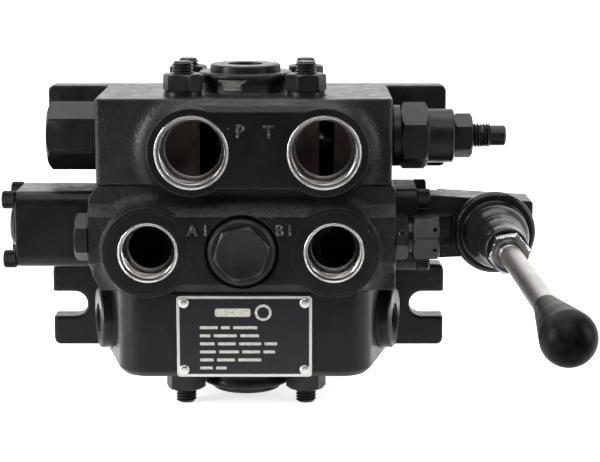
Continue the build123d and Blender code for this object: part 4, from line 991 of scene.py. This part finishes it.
# --------------------------------------------------------------------------- name plate
def slab(x0, x1, z0, z1, front, back, corner, bevel):
    """Thin plate facing the front, with round corners and a small bevel."""
    points, faces = [], []
    rings = [(0.0, back), (0.0, front + bevel), (bevel, front)]
    steps = 6
    for inset, y in rings:
        radius = max(corner - inset, 0.01)
        for cx, cz, start in ((x1, z1, 0), (x0, z1, 1), (x0, z0, 2), (x1, z0, 3)):
            sx, sz = (-1 if cx == x1 else 1), (-1 if cz == z1 else 1)
            for k in range(steps + 1):
                angle = (start + k / steps) * pi / 2
                px = cx + sx * corner + radius * cos(angle)
                pz = cz + sz * corner + radius * sin(angle)
                points.append((px, y, pz))
    count = 4 * (steps + 1)
    for a in range(len(rings) - 1):
        for k in range(count):
            n = (k + 1) % count
            faces.append((a * count + k, a * count + n, (a + 1) * count + n, (a + 1) * count + k))
    faces.append(tuple(range(count)))
    faces.append(tuple(range(2 * count, 3 * count)))
    return points, faces


def raised(x0, x1, z0, z1, front, back, corner):
    """Printed mark that stands a hair off the plate."""
    return slab(x0, x1, z0, z1, front, back, corner, 0.02)


def plate_marks(a, b):
    """Blank bars in rows, and a bar and a ring above them, where a maker's text would stand."""
    face, top, middle = a.y, b.z - 3.6, (a.x + b.x) / 2
    row_step, first_row, left, bar, word_gap = 3.95, b.z - 15.4, a.x + 11.0, 1.4, 1.6
    words = ((8.5, 4.2, 11.5), (5.0, 11.0, 9.0), (7.0, 8.5, 10.5, 6.0), (7.5, 9.5, 8.5, 5.5),
             (6.5, 8.5, 11.0), (6.0, 5.0))
    marks = []
    for row, lengths in enumerate(words):
        x, z = left, first_row - row * row_step
        for length in lengths:
            marks.append(raised(x, x + length, z - bar / 2, z + bar / 2, face - 0.09, face, 0.3))
            x += length + word_gap
    marks.append(raised(middle - 14.0, middle + 3.0, top - 6.5, top - 2.5, face - 0.09, face, 1.2))
    marks.append(raised(middle + 5.0, middle + 13.0, top - 8.5, top - 0.5, face - 0.09, face, 4.0))
    build("plate_marks", marks, "plate_mark", "root")
    hole = raised(middle + 6.2, middle + 11.8, top - 7.3, top - 1.7, face - 0.12, face, 2.8)
    build("plate_badge", [hole], "plate_black", "root")


def rivets():
    """Domed heads at the plate's corners."""
    corner_low, corner_high, radius = low("nameplate_rivets"), high("nameplate_rivets"), 2.5
    dome = turned((5.9, 1.1), (1.1, 1.1), (1.05, 2.4), (0.9, 2.5), (0.6, 2.45), (0.25, 2.0), (0.05, 1.3),
                  (0.0, 0.5))
    heads = []
    for x in (corner_low.x + radius, corner_high.x - radius):
        for z in (corner_low.z + radius, corner_high.z - radius):
            heads.append(shell((x, corner_low.y, z), Y, X, dome, 40))
    build("domed_rivets", heads, "rivet_metal", "root", ("nameplate_rivets",), smooth=45)


def plate():
    """Silver plate with a black field, blank marks and rivets."""
    a, b, border = low("nameplate"), high("nameplate"), 1.35
    sheet = slab(a.x, b.x, a.z, b.z, a.y, b.y, 1.6, 0.15)
    build("plate_border", [sheet], "plate_metal", "root", ("nameplate",))
    field = slab(a.x + border, b.x - border, a.z + border, b.z - border, a.y - 0.05, a.y + 0.2, 1.0, 0.03)
    build("plate_field", [field], "plate_black", "root")
    plate_marks(a, b)
    rivets()


# -------------------------------------------------------------------------------- build
make_finishes()
camera()
studio()
for name, node in NODES.items():
    node.data.materials.clear()
    node.data.materials.append(FINISHES[SLOT_OF[name]])
castings()
port_linings()
face_rings()
cast_letters()
studs()
stack_nuts()
cap_screws()
relief_cartridge()
blanking_plug()
port_relief()
check_plug()
springs()
lever_parts()
boot()
plate()
